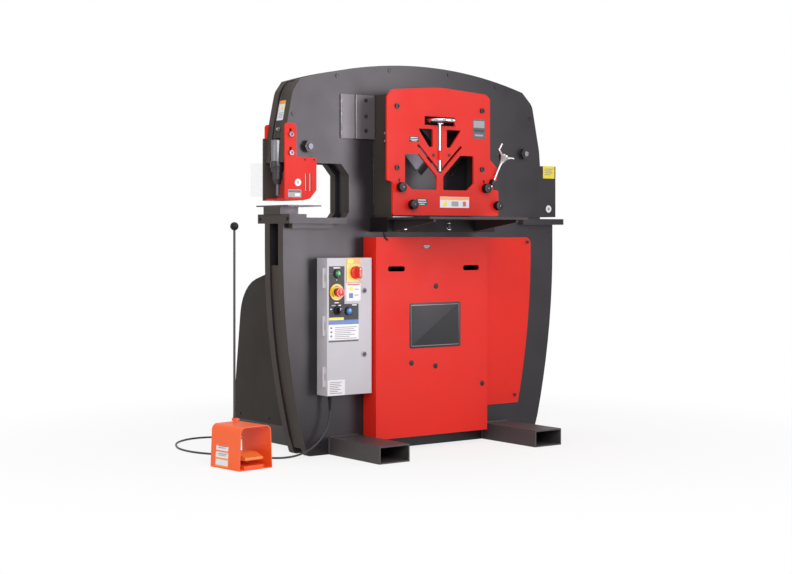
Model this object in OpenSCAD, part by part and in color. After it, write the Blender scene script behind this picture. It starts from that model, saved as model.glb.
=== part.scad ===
// Hydraulic ironworker: twin-plate frame, rocking beam, punch and shear stations.
// X runs along the machine (+X right), Y from front to back, Z up from the floor.
// The origin is on the floor, in the middle of the frame's width and thickness.

/* [Frame] */
// Width of the lower frame
frame_w = 1576; // [1500:4:1900]
// Height of the frame at its crown
frame_h = 1750; // [1740:5:2100]
// Thickness of each frame plate
plate_t = 40; // [36:1:48]
// Gap between the two frame plates
plate_gap = 70; // [68:1:84]
// Distance from the centre to the right end of the head
head_right = 705; // [700:5:730]
// Height of the working tables
work_h = 1050; // [1040:5:1070]
// Radius of the frame's crown
crown_r = 2300; // [2100:50:2600]
// Radius of the frame's bowed lower sides
side_r = 3300; // [3000:50:3800]
// Depth of the strip that closes the gap, below the plates' edges
strip_inset = 10; // [6:1:14]
// Thickness of the closing strips
strip_t = 12; // [8:1:14]

/* [Throat and punch] */
// Depth of the punching throat from the frame's left edge
throat_depth = 348; // [330:2:360]
// Height of the throat above the working height
throat_h = 238; // [230:2:260]
// Distance of the punch axis from the frame's left edge
punch_in = 20; // [14:1:30]
// Punch diameter
punch_d = 16; // [8:1:26]
// Radial clearance between punch and die
die_clearance = 0.4; // [0.2:0.1:1]
// Width of the punch ram along the machine
ram_w = 60; // [56:1:70]
// Diameter of the ram pin
ram_pin_d = 24; // [20:1:26]

/* [Beam and cylinder] */
// Thickness of the rocking beam
beam_t = 64; // [58:1:64]
// Diameter of the beam's pivot pin
pivot_d = 60; // [50:2:70]
// Diameter of the tie bolt at the left
tie_d = 30; // [24:1:32]
// Beam swing from rest to full stroke, in degrees
beam_swing = 2.3; // [1.5:0.1:2.3]
// Distance between the cylinder's two pins at rest
cyl_len = 620; // [600:5:640]
// Outside diameter of the cylinder barrel
barrel_d = 150; // [130:2:156]
// Bore of the cylinder
bore_d = 126; // [110:2:130]
// Diameter of the piston rod
rod_d = 50; // [40:1:54]

/* [Base and rear cover] */
// Height of the fork tubes
tube_h = 76; // [70:1:90]
// Width of the fork tubes
tube_w = 160; // [150:2:170]
// Wall of the fork tubes
tube_wall = 6; // [4:0.5:10]
// Reach of the tubes in front of the frame
tube_front = 380; // [340:5:460]
// Reach of the tubes behind the frame
tube_rear = 680; // [670:5:760]
// Sheet thickness of covers
sheet = 3; // [2:0.5:4]
// Height of the rear cover where it meets the frame
rear_h = 889; // [870:2:900]

/* [Shear station] */
// Centre of the shear station along the machine
shear_x = -33; // [-40:1:-25]
// Height of the lowest point of the angle shear above the tables
heel_up = 195; // [185:5:205]
// Half diagonal of the angle shear's opening
angle_half = 110; // [100:2:116]
// Open gap of the angle shear, measured upright
angle_gap = 22; // [18:1:26]
// Length of the flat bar blades
flat_len = 365; // [340:5:370]
// Diameter of the rod shear's hole
rod_hole_d = 17; // [10:1:20]
// Running gap between fixed and moving blades
blade_gap = 0.3; // [0.3:0.1:1]

/* [Guard and tables] */
// Distance of the shear guard's front in front of the frame
guard_out = 140; // [130:2:150]
// Thickness of the shear guard
guard_t = 10; // [8:1:12]
// Reach of the shear table in front of the frame
table_out = 437; // [400:5:460]
// Thickness of the shear table
table_t = 10; // [8:1:14]
// Depth of the shear bolster
bolster_out = 132; // [100:2:136]
// Diameter of the handwheel over its rim
wheel_d = 154; // [120:2:156]
// Diameter of the handwheel's spindle
spindle_d = 13; // [10:1:16]
// Diameter of the clamping knobs
knob_d = 36; // [32:1:42]

/* [Control box] */
// Width of the control box
box_w = 239; // [230:1:245]
// Height of the control box
box_h = 602; // [580:2:620]
// Depth of the control box with its door
box_d = 78; // [70:1:95]
// Distance of the box from the frame's left edge
box_in = 177; // [170:1:185]
// Height of the box's underside above the floor
box_z = 268; // [250:2:290]

/* [Foot switch] */
// Width of the foot switch's guard
foot_w = 172; // [160:5:200]
// Length of the foot switch's guard
foot_l = 200; // [190:5:240]
// Height of the foot switch's guard
foot_h = 180; // [165:5:200]
// Height of the carrying rod's ball
rod_top = 1008; // [900:4:1040]

/* [Hidden] */

fit = 0.05;                 // radial clearance of a running pin
slip = 0.5;                 // clearance between sliding flat faces
facing = plate_gap / 2;     // inner faces of the frame plates, from the mid-plane
face = facing + plate_t;    // outer faces of the frame plates, from the mid-plane
left = -frame_w / 2;
right = frame_w / 2;
shoulder_z = work_h - 150;  // where the bowed sides turn upright
throat_bottom = work_h - 29;
throat_top = work_h + throat_h;
throat_back = left + throat_depth;
pivot = [right - 194, work_h + 316];
tie = [left + 127, work_h + 309];
punch_x = left + punch_in;
lever = pivot[0] - punch_x;
rod_pin = [-255, work_h - 190];
arm = rod_pin - pivot;
pull = [-arm[1], arm[0]] / norm(arm);
base_pin = rod_pin + pull * cyl_len;
cyl_tilt = atan2(-pull[0], -pull[1]);
heel = [shear_x, work_h + heel_up];
flat_x0 = shear_x - 252;
flat_x1 = flat_x0 + flat_len;
guard_y = -face - guard_out;
guard_back = guard_y + guard_t;
guard_bottom = work_h + 10;
cord_r = 4.5;

// Side of the lower frame at a height
function side_x(z) = right - pow(max(shoulder_z - z, 0), 2) / (2 * side_r);
// Height of the crown at a place along the machine, a depth below the edge
function crown_z(x, inset) = frame_h - crown_r
    + sqrt(pow(crown_r - inset, 2) - pow(x + 35, 2));
// Points of a fillet of radius r at corner b, between corners a and c
function fillet(a, b, c, r) =
    let (u = [a[0] - b[0], a[1] - b[1]], v = [c[0] - b[0], c[1] - b[1]])
    let (un = u / norm(u), vn = v / norm(v))
    let (half = acos(max(-1, min(1, un * vn))) / 2)
    let (mid = (un + vn) / norm(un + vn))
    let (centre = [b[0], b[1]] + mid * r / sin(half))
    let (p = [b[0], b[1]] + un * r / tan(half) - centre)
    let (q = [b[0], b[1]] + vn * r / tan(half) - centre)
    let (start = atan2(p[1], p[0]), turn = atan2(q[1], q[0]) - start)
    let (sweep = turn > 180 ? turn - 360 : turn < -180 ? turn + 360 : turn)
    let (steps = max(2, ceil(abs(sweep) / 12)))
    [for (i = [0:steps]) centre + r * [cos(start + sweep * i / steps), sin(start + sweep * i / steps)]];
// Outline from corners [x, y, fillet radius]
function rounded(corners) = [for (i = [0:len(corners) - 1])
    let (n = len(corners), a = corners[(i + n - 1) % n], b = corners[i], c = corners[(i + 1) % n])
    each (b[2] == 0 ? [[b[0], b[1]]] : fillet(a, b, c, b[2]))];
// A list of corners mirrored about an upright line at x
function flipped(corners, x) = [for (c = corners) [2 * x - c[0], c[1], c[2]]];

// Head of the frame from its right foot, over the crown, to its left foot
function head_line(inset, right_z, left_z) = concat(
    [[head_right - inset, right_z, 0], [head_right - inset, work_h + 266, 0],
     [head_right - 6 - inset, work_h + 334, 0],
     [head_right - 52 - inset, frame_h - 147 - inset, 60 - inset]],
    [for (i = [0:24]) let (x = 590 + head_right - 705 + (left + 87 - 590 - head_right + 705) * i / 24)
        [x, crown_z(x, inset), 0]],
    [[left + 51 + inset, frame_h - 148 - inset, 60 - inset], [left + 41 + inset, frame_h - 192, 0],
     [left + 23 + inset, frame_h - 280, 0], [left + 10 + inset, max(work_h + 333, left_z + 2), 0],
     [left + 3 + inset + (left_z - throat_top) * 0.05, left_z, 0]]);
function reversed(list) = [for (i = [len(list) - 1:-1:0]) list[i]];
function frame_outline() = rounded(concat(
    [[side_x(0) - 6, 0, 16]],
    [for (i = [1:10]) let (z = shoulder_z * i / 10) [side_x(z), z, 0]],
    [[right, work_h - 28, 0]],
    head_line(0, work_h - 28, throat_top),
    [[left, throat_bottom, 0]],
    [for (i = [10:-1:1]) let (z = shoulder_z * i / 10) [-side_x(z), z, 0]],
    [[-side_x(0) + 6, 0, 16]]));
function throat_outline() = rounded([[left - 60, throat_bottom, 0], [left + 308, throat_bottom, 0],
    [left + 308, work_h - 3, 0], [throat_back - 20, work_h - 3, 0], [throat_back, work_h + 22, 0],
    [throat_back, throat_top - 49, 0], [throat_back - 43, throat_top, 12], [left - 60, throat_top, 0]]);
// The angle shear's square opening, grown by a margin
function diamond(grow) = [[heel[0], heel[1] - grow], [heel[0] + angle_half + grow, heel[1] + angle_half],
    [heel[0], heel[1] + 2 * angle_half + grow], [heel[0] - angle_half - grow, heel[1] + angle_half]];
function flat_edge(x) = work_h + 34 - 16 * (x - flat_x0) / flat_len;

// Extrudes a drawing in X and Z from y0 to y1
module xz(y0, y1) { translate([0, y1, 0]) rotate([90, 0, 0]) linear_extrude(y1 - y0) children(); }
// Extrudes a drawing in Y and Z from x0 to x1
module yz(x0, x1) { translate([x0, 0, 0]) rotate([90, 0, 90]) linear_extrude(x1 - x0) children(); }
module rod_y(p, r, y0, y1, fn = 64) {
    translate([p[0], y0, p[1]]) rotate([-90, 0, 0]) cylinder(r = r, h = y1 - y0, $fn = fn);
}
module block(x, y, z) { translate([x[0], y[0], z[0]]) cube([x[1] - x[0], y[1] - y[0], z[1] - z[0]]); }
// A hexagon head or nut along Y
module hex_y(p, across, y0, y1) { rod_y(p, across / sqrt(3), y0, y1, 6); }
// Places children on the cylinder's axis, +Z from the base pin to the rod pin
module on_cylinder() { translate([base_pin[0], 0, base_pin[1]]) rotate([0, cyl_tilt, 0]) children(); }

// ---- frame ----
tube_left_x = left + 240;
tube_right_x = right - 455;
window_r = barrel_d / 2 + 9;

module frame_plate(y0, y1, ease) {
    difference() {
        xz(y0, y1) difference() {
            polygon(frame_outline());
            polygon(throat_outline());
            polygon(diamond(ease));
            polygon([[flat_x0 - ease, work_h - ease], [flat_x1 + ease, work_h - ease],
                [flat_x1 + ease, flat_edge(flat_x1) + ease], [flat_x0 - ease, flat_edge(flat_x0) + ease]]);
            translate(base_pin) rotate(90 - cyl_tilt) translate([42, -window_r])
                square([cyl_len - 175, 2 * window_r]);
            for (x = [tube_left_x, tube_right_x]) translate([x, -1]) square([tube_w, tube_h + 1]);
        }
        rod_y(tie, tie_d / 2, y0 - 1, y1 + 1);
        rod_y(pivot, pivot_d / 2, y0 - 1, y1 + 1);
        rod_y(base_pin, 20, y0 - 1, y1 + 1);
        rod_y(rod_hole, 15 + ease, y0 - 1, y1 + 1);
    }
}
module front_plate() {
    low = heel - [0, 26 * sqrt(2)];
    color("#565259") difference() {
        frame_plate(-face, -facing, 0);
        xz(-facing - 30, -facing + 1) polygon([low, low + [angle_half, angle_half],
            heel + [angle_half, angle_half], heel, heel + [-angle_half, angle_half],
            low + [-angle_half, angle_half]]);
        block([flat_x0, flat_x1], [-facing - 25, -facing + 1], [work_h - 36, work_h + 1]);
        rod_y(rod_hole, 25, -facing - 30, -facing + 1);
    }
}
module rear_plate() { color("#4f4b52") frame_plate(facing, face, 12); }

module crown_strip() {
    left_end = work_h + 345;
    right_end = work_h + 12;
    color("#454144") xz(-facing, facing) polygon(concat(
        rounded(head_line(strip_inset, right_end, left_end)),
        reversed(rounded(head_line(strip_inset + strip_t, right_end, left_end)))));
}
module side_strip(top) {
    xz(-facing, facing) polygon(concat(
        [for (i = [0:10]) let (z = 30 + (top - 30) * i / 10) [side_x(z) - strip_inset, z]],
        [for (i = [10:-1:0]) let (z = 30 + (top - 30) * i / 10) [side_x(z) - strip_inset - strip_t, z]]));
}
module side_strips() {
    color("#4b463f") {
        mirror([1, 0, 0]) side_strip(work_h - 212);
        side_strip(work_h - 60);
        block([tube_left_x + tube_w, tube_right_x], [-facing, facing], [0, strip_t]);
    }
}

module fork_tube(x) {
    color("#3d3a3b") difference() {
        block([x, x + tube_w], [-face - tube_front, face + tube_rear], [0, tube_h]);
        block([x + tube_wall, x + tube_w - tube_wall], [-face - tube_front - 1, face + tube_rear + 1],
            [tube_wall, tube_h - tube_wall]);
    }
}
module fork_tube_left() { fork_tube(tube_left_x); }
module fork_tube_right() { fork_tube(tube_right_x); }

// Socket screws: strip screws, guard screws and the stripper's four shoulder bolts
plug_x = [left + 54, left + 286, left + 574, 132, 423, 642];
module socket_screw(p, r, y, out) {
    difference() {
        rod_y(p, r, min(y, y + out), max(y, y + out), 48);
        hex_y(p, r, min(y + out / 2, y + out * 1.5), max(y + out / 2, y + out * 1.5));
    }
}
module shoulder_bolt(p, side) {
    y0 = side * face;
    y1 = side * (face + 2 * slip + cheek_t);
    rod_y(p, 5.5, min(y0, y1), max(y0, y1), 32);
    socket_screw(p, 11, y1, side * 9);
}
module face_screws() {
    color("#5d595f") {
        for (i = [0:5], side = [-1, 1]) {
            z = i == 0 ? frame_h - 251 : i == 5 ? frame_h - 209 : crown_z(plug_x[i], 22);
            socket_screw([plug_x[i], z], 10, side * face, side * 3);
        }
        for (z = bolt_z, side = [-1, 1]) shoulder_bolt([bolt_x, z], side);
        for (z = [389, 454, 526]) socket_screw([left + 431, work_h + z], 8, -face - 12, -6);
        for (p = [[615, 937], [534, 198]]) socket_screw([p[0], p[1]], 8, -face - 6, -5);
    }
    color("#2b2a2c") for (p = [[-244, 496], [249, 498], [-244, 222], [249, 226]])
        socket_screw([shear_x + p[0], work_h + p[1]], 12, guard_y, -7);
}

// ---- base and power pack behind the frame ----
deck_z = tube_h + 10;
pack_x0 = tube_left_x;
pack_x1 = tube_right_x + tube_w;
pack_y1 = face + tube_rear;

module rear_deck() {
    color("#3d3a3b") block([pack_x0, pack_x1], [face, pack_y1], [tube_h, deck_z]);
}
// Side of the rear cover, drawn in Y and Z, a depth inside its skin
function cover_side(inset) = let (open = inset > 0 ? 1 : 0) rounded([
    [face - open, deck_z - open, 0], [pack_y1 - inset, deck_z - open, 0],
    [pack_y1 - 87 - inset, rear_h - 160 - inset, 200 - inset], [face - open, rear_h - inset, 0]]);
module rear_cover() {
    color("#57504a") difference() {
        yz(pack_x0, pack_x1) polygon(cover_side(0));
        yz(pack_x0 + sheet, pack_x1 - sheet) polygon(cover_side(sheet));
    }
}
tank_x = [pack_x0 + 60, -60];
tank_y = [face + 60, face + 460];
tank_z = [deck_z, deck_z + 300];
module oil_tank() {
    color("#3f4a52") {
        block(tank_x, tank_y, tank_z);
        translate([tank_x[0] + 60, tank_y[1] - 70, tank_z[1]]) cylinder(r = 28, h = 34, $fn = 48);
    }
}
motor = [tank_x[1] + 240, (tank_y[0] + tank_y[1]) / 2, deck_z + 132];
module pump_motor() {
    color("#6b7076") {
        translate(motor) rotate([0, 90, 0]) {
            cylinder(r = 92, h = 230, $fn = 64);
            for (i = [0:23]) rotate(i * 15) translate([88, -2, 12]) cube([16, 4, 190]);
            translate([0, 0, 230]) cylinder(r = 104, h = 45, $fn = 64);
        }
        block([motor[0] + 40, motor[0] + 190], [motor[1] - 85, motor[1] + 85], [deck_z, deck_z + 60]);
        block([motor[0] + 60, motor[0] + 170], [motor[1] - 45, motor[1] + 45],
            [motor[2] + 80, motor[2] + 150]);
    }
    color("#7c8086") translate(motor) rotate([0, -90, 0]) {
        cylinder(r = 70, h = 16, $fn = 64);
        cylinder(r = 48, h = 136, $fn = 64);
        cylinder(r = 14, h = 240, $fn = 32);
    }
}
valve_x = [tank_x[1] - 90, tank_x[1]];
valve_y = [tank_y[0] + 40, tank_y[0] + 130];
valve_z = [tank_z[1], tank_z[1] + 80];
module valve_block() {
    color("#8a8f94") {
        block(valve_x, valve_y, valve_z);
        for (x = [valve_x[0] - 60, valve_x[1]]) translate([x, valve_y[0] + 45, valve_z[0] + 45])
            rotate([0, 90, 0]) cylinder(r = 24, h = 60, $fn = 48);
    }
}
// Round pipe of radius r through a list of points
module pipe(points, r) {
    for (i = [0:len(points) - 2]) {
        d = points[i + 1] - points[i];
        translate(points[i]) rotate([0, acos(d[2] / norm(d)), atan2(d[1], d[0])])
            cylinder(r = r, h = norm(d), $fn = 32);
        if (i > 0) translate(points[i]) sphere(r = r, $fn = 32);
    }
}
module oil_pipes() {
    low = base_pin - pull * 100;
    high = base_pin - pull * 400;
    port_y = barrel_d / 2 + 1;
    mid = valve_z[0] + 30;
    color("#2c2b2d") {
        pipe([[valve_x[0] + 45, valve_y[0], mid], [valve_x[0] + 45, valve_y[0] - 50, mid],
            [low[0], valve_y[0] - 50, mid], [low[0], valve_y[0] - 50, low[1]], [low[0], port_y, low[1]]], 9);
        pipe([[high[0], valve_y[0] + 45, valve_z[1]], [high[0], valve_y[0] + 45, high[1]],
            [high[0], port_y, high[1]]], 9);
    }
}

// ---- frame pins ----
module washered_nut(p, shank, across) {
    color("#5a5658") {
        rod_y(p, shank / 2, -face, face);
        for (side = [-1, 1]) {
            rod_y(p, across * 0.62, side > 0 ? face : -face - 4, side > 0 ? face + 4 : -face);
            hex_y(p, across, side > 0 ? face + 4 : -face - 22, side > 0 ? face + 22 : -face - 4);
            rod_y(p, 12, side > 0 ? face + 22 : -face - 27, side > 0 ? face + 27 : -face - 22, 32);
        }
    }
}
module tie_bolt() { washered_nut(tie, tie_d, 48); }
module frame_pins() {
    washered_nut(pivot, pivot_d, 48);
    color("#5a5658") rod_y(base_pin, 20, -face, face);
}

// ---- punch station ----
bolster_x1 = left + 298;
bolster_y = face + 55;
module punch_bolster() {
    color("#625d5f") difference() {
        union() {
            block([left - 2, bolster_x1], [-bolster_y, bolster_y], [throat_bottom, work_h - 3]);
            block([left - 2, left + 86], [-bolster_y, bolster_y], [work_h - 3, holder_z[0]]);
            block([left + 26, left + 240], [-face - 34, -face], [throat_bottom - 21, throat_bottom]);
        }
        translate([punch_x, 0, throat_bottom - 1]) cylinder(r = 13, h = 60, $fn = 48);
    }
}
die_x = [left - 10, left + 82];
holder_z = [work_h + 12, work_h + 45];
module die_holder() {
    color("#4a4744") difference() {
        block(die_x, [-face + 5, face - 5], holder_z);
        translate([punch_x, 0, holder_z[0] + 6]) cylinder(r = 16 + fit, h = 40, $fn = 48);
        translate([punch_x, 0, holder_z[0] - 1]) cylinder(r = 13, h = 40, $fn = 48);
    }
}
module die() {
    color("#8d8a86") difference() {
        translate([punch_x, 0, holder_z[0] + 6]) cylinder(r = 16, h = 33, $fn = 48);
        translate([punch_x, 0, holder_z[0]]) cylinder(r = punch_d / 2 + die_clearance, h = 60, $fn = 48);
    }
}
module punch_table() {
    color("#6b6669") difference() {
        block([left - 10, left + 163], [-bolster_y, bolster_y], [holder_z[1], holder_z[1] + 6]);
        translate([punch_x, 0, holder_z[1] - 1]) cylinder(r = 16 + slip, h = 8, $fn = 48);
    }
}
ram_x = [punch_x - ram_w / 2, punch_x + ram_w / 2];
ram_y = facing - 0.3;
ram_z = [throat_top - 34, throat_top + 102];
module punch_ram() {
    color("#77747a") difference() {
        block(ram_x, [-ram_y, ram_y], ram_z);
        block([ram_x[0] + 10, ram_x[1] + 1], [-13, 13], [pivot[1] - 44, ram_z[1] + 1]);
    }
    color("#5a5658") rod_y([punch_x, pivot[1]], ram_pin_d / 2, -ram_y, ram_y);
}
module punch_tool() {
    color("#55535a") translate([punch_x, 0, 0]) {
        translate([0, 0, ram_z[0] - 9]) cylinder(r = 28, h = 9, $fn = 64);
        translate([0, 0, ram_z[0] - 37]) cylinder(r = 23, h = 28, $fn = 64);
        translate([0, 0, ram_z[0] - 61]) cylinder(r1 = 14, r2 = 23, h = 24, $fn = 64);
        translate([0, 0, ram_z[0] - 109]) cylinder(r = punch_d / 2, h = 48, $fn = 48);
    }
}
cheek_t = 10;
cheek_in = face + slip;
cheek_out = cheek_in + cheek_t;
strip_bottom = work_h + 72;
strip_top = strip_bottom + 8;
function cheek_outline() = rounded([[left + 5, strip_bottom, 0], [left + 95, strip_bottom, 0],
    [left + 133, strip_bottom + 8, 4], [left + 167, strip_bottom + 46, 4],
    [left + 167, strip_bottom + 190, 6], [left + 62, strip_bottom + 190, 10],
    [left + 62, strip_bottom + 336, 22], [left + 5, strip_bottom + 336, 14]]);
bolt_x = left + 32;
bolt_z = [work_h + 278, work_h + 358];
module stripper() {
    color("#d8322b") {
        for (y = [-cheek_out, cheek_in]) xz(y, y + cheek_t) difference() {
            polygon(cheek_outline());
            for (x = [left + 109, left + 131]) translate([x, strip_bottom + 42]) square([9, 76]);
            for (z = bolt_z) polygon(rounded([[bolt_x - 6, z - 6.5, 5.9], [bolt_x + 6, z - 6.5, 5.9],
                [bolt_x + 6, z + 26.5, 5.9], [bolt_x - 6, z + 26.5, 5.9]]));
        }
        difference() {
            block([left + 5, left + 95], [-cheek_in, cheek_in], [strip_bottom, strip_top]);
            translate([punch_x, 0, strip_bottom - 1]) cylinder(r = 15, h = 10, $fn = 48);
            block([left - 1, punch_x], [-15, 15], [strip_bottom - 1, strip_top + 1]);
        }
    }
}
module clear_guard() {
    color("#dfe6ea", 0.4) block([left - 64, left + 40], [cheek_out, cheek_out + 4],
        [strip_bottom + 17, strip_bottom + 166]);
}

// ---- beam, its blades and its cylinder ----
tongue_z = [pivot[1] - 25, pivot[1] + 25];
function beam_outline() = rounded([
    [pivot[0] + 60, pivot[1] - 84, 58], [pivot[0] + 60, pivot[1] + 72, 58],
    [300, pivot[1] + 190, 120], [throat_back - 20, pivot[1] + 190, 120],
    [tie[0] - 30, tie[1] + 110, 30], [ram_x[1] + 14, tongue_z[1] + 8, 10], [ram_x[1] + 14, tongue_z[0] - 8, 6],
    [tie[0] - 21, tongue_z[0] - 8, 0], [tie[0] - 21, tie[1] + 76, 18],
    [tie[0] + 21, tie[1] + 76, 18], [tie[0] + 21, tongue_z[0] - 8, 0],
    [throat_back - 60, tongue_z[0] - 8, 40], [throat_back + 14, throat_top - 36, 30],
    [throat_back + 14, work_h - 70, 60], [rod_pin[0] - 38, rod_pin[1] - 30, 30],
    [rod_pin[0] + 30, rod_pin[1] - 38, 30], [rod_pin[0] + 48, rod_pin[1] + 60, 30],
    [flat_x0 + 20, work_h - 50, 30],
    [shear_x + 240, work_h - 50, 30], [shear_x + 280, work_h + 180, 60]]);
module angle_slot() {
    polygon([heel - [0, 6], heel + [angle_half, angle_half - 6], heel + [angle_half, angle_half + angle_gap],
        heel + [0, angle_gap], heel + [-angle_half, angle_half + angle_gap], heel + [-angle_half, angle_half - 6]]);
}
function wedge_outline() = [heel + [0, angle_gap], heel + [80, angle_gap + 80],
    heel + [80, angle_gap + 110], heel + [-80, angle_gap + 110], heel + [-80, angle_gap + 80]];
function flat_blade() = [[flat_x0, flat_edge(flat_x0)], [flat_x1, flat_edge(flat_x1)],
    [flat_x1, flat_edge(flat_x1) + 42], [flat_x0, flat_edge(flat_x0) + 42]];
blade_y = [-facing + blade_gap, -beam_t / 2 + 27];
rod_hole = [shear_x + 181, work_h + 212];

module beam() {
    half = beam_t / 2;
    color("#3b3f45") difference() {
        union() {
            xz(-half, half) polygon(beam_outline());
            block([ram_x[0] + 14, ram_x[1] + 20], [-12, 12], tongue_z);
        }
        rod_y(pivot, pivot_d / 2 + fit, -half - 1, half + 1);
        for (dx = [-4, 0, 4]) rod_y([punch_x + dx, pivot[1]], ram_pin_d / 2 + 0.4, -13, 13);
        xz(-half - 1, half + 1) {
            angle_slot();
            polygon([[flat_x0 - 6, work_h - 6], [flat_x1 + 6, work_h - 6],
                [flat_x1 + 6, flat_edge(flat_x1)], [flat_x0 - 6, flat_edge(flat_x0)]]);
        }
        xz(-half - 1, blade_y[1]) { polygon(wedge_outline()); polygon(flat_blade()); }
        rod_y(rod_hole, 25, -half - 1, blade_y[1]);
        rod_y(rod_hole, 15, -half - 1, half + 1);
        rod_y(rod_pin, 64, -17, 17);
    }
    color("#77747a") rod_y(rod_pin, 18, -half, half);
}
module moving_blades() {
    color("#9a989c") {
        xz(blade_y[0], blade_y[1]) { polygon(wedge_outline()); polygon(flat_blade()); }
        difference() {
            rod_y(rod_hole, 25, blade_y[0], blade_y[1]);
            rod_y(rod_hole, rod_hole_d / 2, blade_y[0] - 1, blade_y[1] + 1);
        }
    }
}
module fixed_blades() {
    low = heel - [0, 26 * sqrt(2)];
    color("#9a989c") {
        xz(-facing - 30, -facing) for (s = [-1, 1])
            polygon([heel, heel + [s * angle_half, angle_half], low + [s * angle_half, angle_half], low]);
        block([flat_x0, flat_x1], [-facing - 25, -facing], [work_h - 36, work_h]);
        difference() {
            rod_y(rod_hole, 25, -facing - 30, -facing);
            rod_y(rod_hole, rod_hole_d / 2, -facing - 31, -facing + 1);
        }
    }
}
module cylinder_barrel() {
    r = barrel_d / 2;
    color("#2d2f33") on_cylinder() {
        difference() {
            union() {
                translate([0, 0, 50]) cylinder(r = r, h = cyl_len - 220, $fn = 96);
                translate([0, 30, 0]) rotate([90, 0, 0]) cylinder(r = 34, h = 60, $fn = 64);
                translate([-34, -30, 0]) cube([68, 60, 52]);
            }
            translate([0, 0, 74]) cylinder(r = bore_d / 2, h = cyl_len - 274, $fn = 96);
            translate([0, 0, 60]) cylinder(r = rod_d / 2 + fit, h = cyl_len, $fn = 64);
            translate([0, 31, 0]) rotate([90, 0, 0]) cylinder(r = 20 + fit, h = 62, $fn = 64);
        }
    }
}
module piston_rod() {
    color("#c9cbd0") on_cylinder() {
        difference() {
            union() {
                translate([0, 0, 230]) cylinder(r = bore_d / 2 - fit, h = 50, $fn = 96);
                translate([0, 0, 180]) cylinder(r = rod_d / 2, h = cyl_len - 256, $fn = 64);
                translate([0, 16, cyl_len]) rotate([90, 0, 0]) cylinder(r = 34, h = 32, $fn = 64);
                translate([-25, -16, cyl_len - 80]) cube([50, 32, 80]);
            }
            translate([0, 31, cyl_len]) rotate([90, 0, 0]) cylinder(r = 19, h = 62, $fn = 64);
        }
    }
}

// ---- shear guard and what it carries ----
guard_l = [shear_x - 269, shear_x + 285];
module guard_frame() {
    color("#4d4743") for (x = [guard_l[0], guard_l[1] - 12]) difference() {
        block([x, x + 12], [guard_back, -face], [guard_bottom, work_h + 552]);
        block([x - 1, x + 13], [guard_back + 22, guard_back + 31], [work_h + 320, work_h + 410]);
        block([x - 1, x + 13], [guard_back + 22, guard_back + 31], [work_h + 470, work_h + 530]);
    }
}
function guard_outline() = rounded([[shear_x - 267, guard_bottom, 8], [shear_x + 350, guard_bottom, 8],
    [shear_x + 350, work_h + 130, 6], [shear_x + 312, work_h + 132, 6], [shear_x + 341, work_h + 184, 4],
    [shear_x + 341, work_h + 235, 12], [shear_x + 298, work_h + 272, 12], [shear_x + 298, work_h + 556, 14],
    [shear_x + 273, work_h + 575, 20], [shear_x, work_h + 593, 600], [shear_x - 272, work_h + 570, 20],
    [shear_x - 299, work_h + 535, 24], [shear_x - 299, work_h + 165, 6], [shear_x - 267, work_h + 157, 6]]);
side_window = [[shear_x - 199, work_h + 286, 6], [shear_x - 120, work_h + 286, 6],
    [shear_x - 19, work_h + 189, 10], [shear_x - 19, work_h + 126, 6], [shear_x - 160, work_h + 126, 6],
    [shear_x - 199, work_h + 158, 6]];
top_triangle = [[shear_x - 126, work_h + 402, 4], [shear_x - 40, work_h + 402, 4],
    [shear_x - 40, work_h + 320, 4], [shear_x - 62, work_h + 320, 4]];
wheel_z = work_h + 440;
upper_knobs = [[shear_x - 233, work_h + 135], [shear_x + 261, work_h + 138]];
lower_knobs = [[shear_x - 168, work_h + 58], [shear_x + 332, work_h + 58]];
module angle_leg(s) {
    translate([shear_x, work_h + 206]) rotate(s > 0 ? 44 : 136) translate([0, -6.5]) square([176, 13]);
}
module shear_guard() {
    color("#e8392c") difference() {
        xz(guard_y, guard_back) difference() {
            polygon(guard_outline());
            polygon(rounded(side_window));
            polygon(rounded(flipped(side_window, shear_x)));
            polygon(rounded(top_triangle));
            polygon(rounded(flipped(top_triangle, shear_x)));
            translate([shear_x - 88, wheel_z - 21]) square([176, 40]);
            translate([shear_x - 11, work_h + 206]) square([22, 220]);
            angle_leg(1);
            angle_leg(-1);
            for (p = upper_knobs) translate([p[0] - 6, p[1] - 6]) square([12, 44]);
        }
        for (p = lower_knobs) rod_y(p, 5 + fit, guard_y - 1, guard_back + 1, 32);
    }
}
module knob(p, end) {
    rod_y(p, knob_d / 2, guard_y - 34, guard_y - 12, 48);
    rod_y(p, knob_d / 2 - 5, guard_y - 12, guard_y - slip, 48);
    rod_y(p, 5, guard_y - slip, end, 32);
}
module knob_left() { color("#1c1b1d") knob(lower_knobs[0], guard_back); }
module knob_right() { color("#1c1b1d") knob(lower_knobs[1], guard_back); }
module hold_down() {
    y0 = guard_back + slip;
    x0 = guard_l[0] + 12 + slip;
    x1 = guard_l[1] - 12 - slip;
    top = work_h + 112;
    color("#38353a") xz(y0, y0 + 10) polygon(rounded([[x0, guard_bottom + 6, 4],
        [x1, guard_bottom + 6, 4], [x1, upper_knobs[1][1] + 14, 6], [x1 - 28, upper_knobs[1][1] + 14, 6],
        [x1 - 28, top, 4], [x0 + 42, top, 4], [x0 + 42, upper_knobs[0][1] + 14, 6],
        [x0, upper_knobs[0][1] + 14, 6]]));
    color("#1c1b1d") for (p = upper_knobs) knob(p, y0);
}
nut_z = [work_h + 262, work_h + 306];
spindle_y = guard_y + 3;
bearing_z = [work_h + 206, work_h + 222];
module spindle_nut() {
    color("#d8322b") difference() {
        block([shear_x - 10.5, shear_x + 10.5], [spindle_y - 14, spindle_y + 16], nut_z);
        translate([shear_x, spindle_y, nut_z[0] - 1]) cylinder(r = spindle_d / 2 + fit, h = 60, $fn = 48);
    }
}
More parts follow.
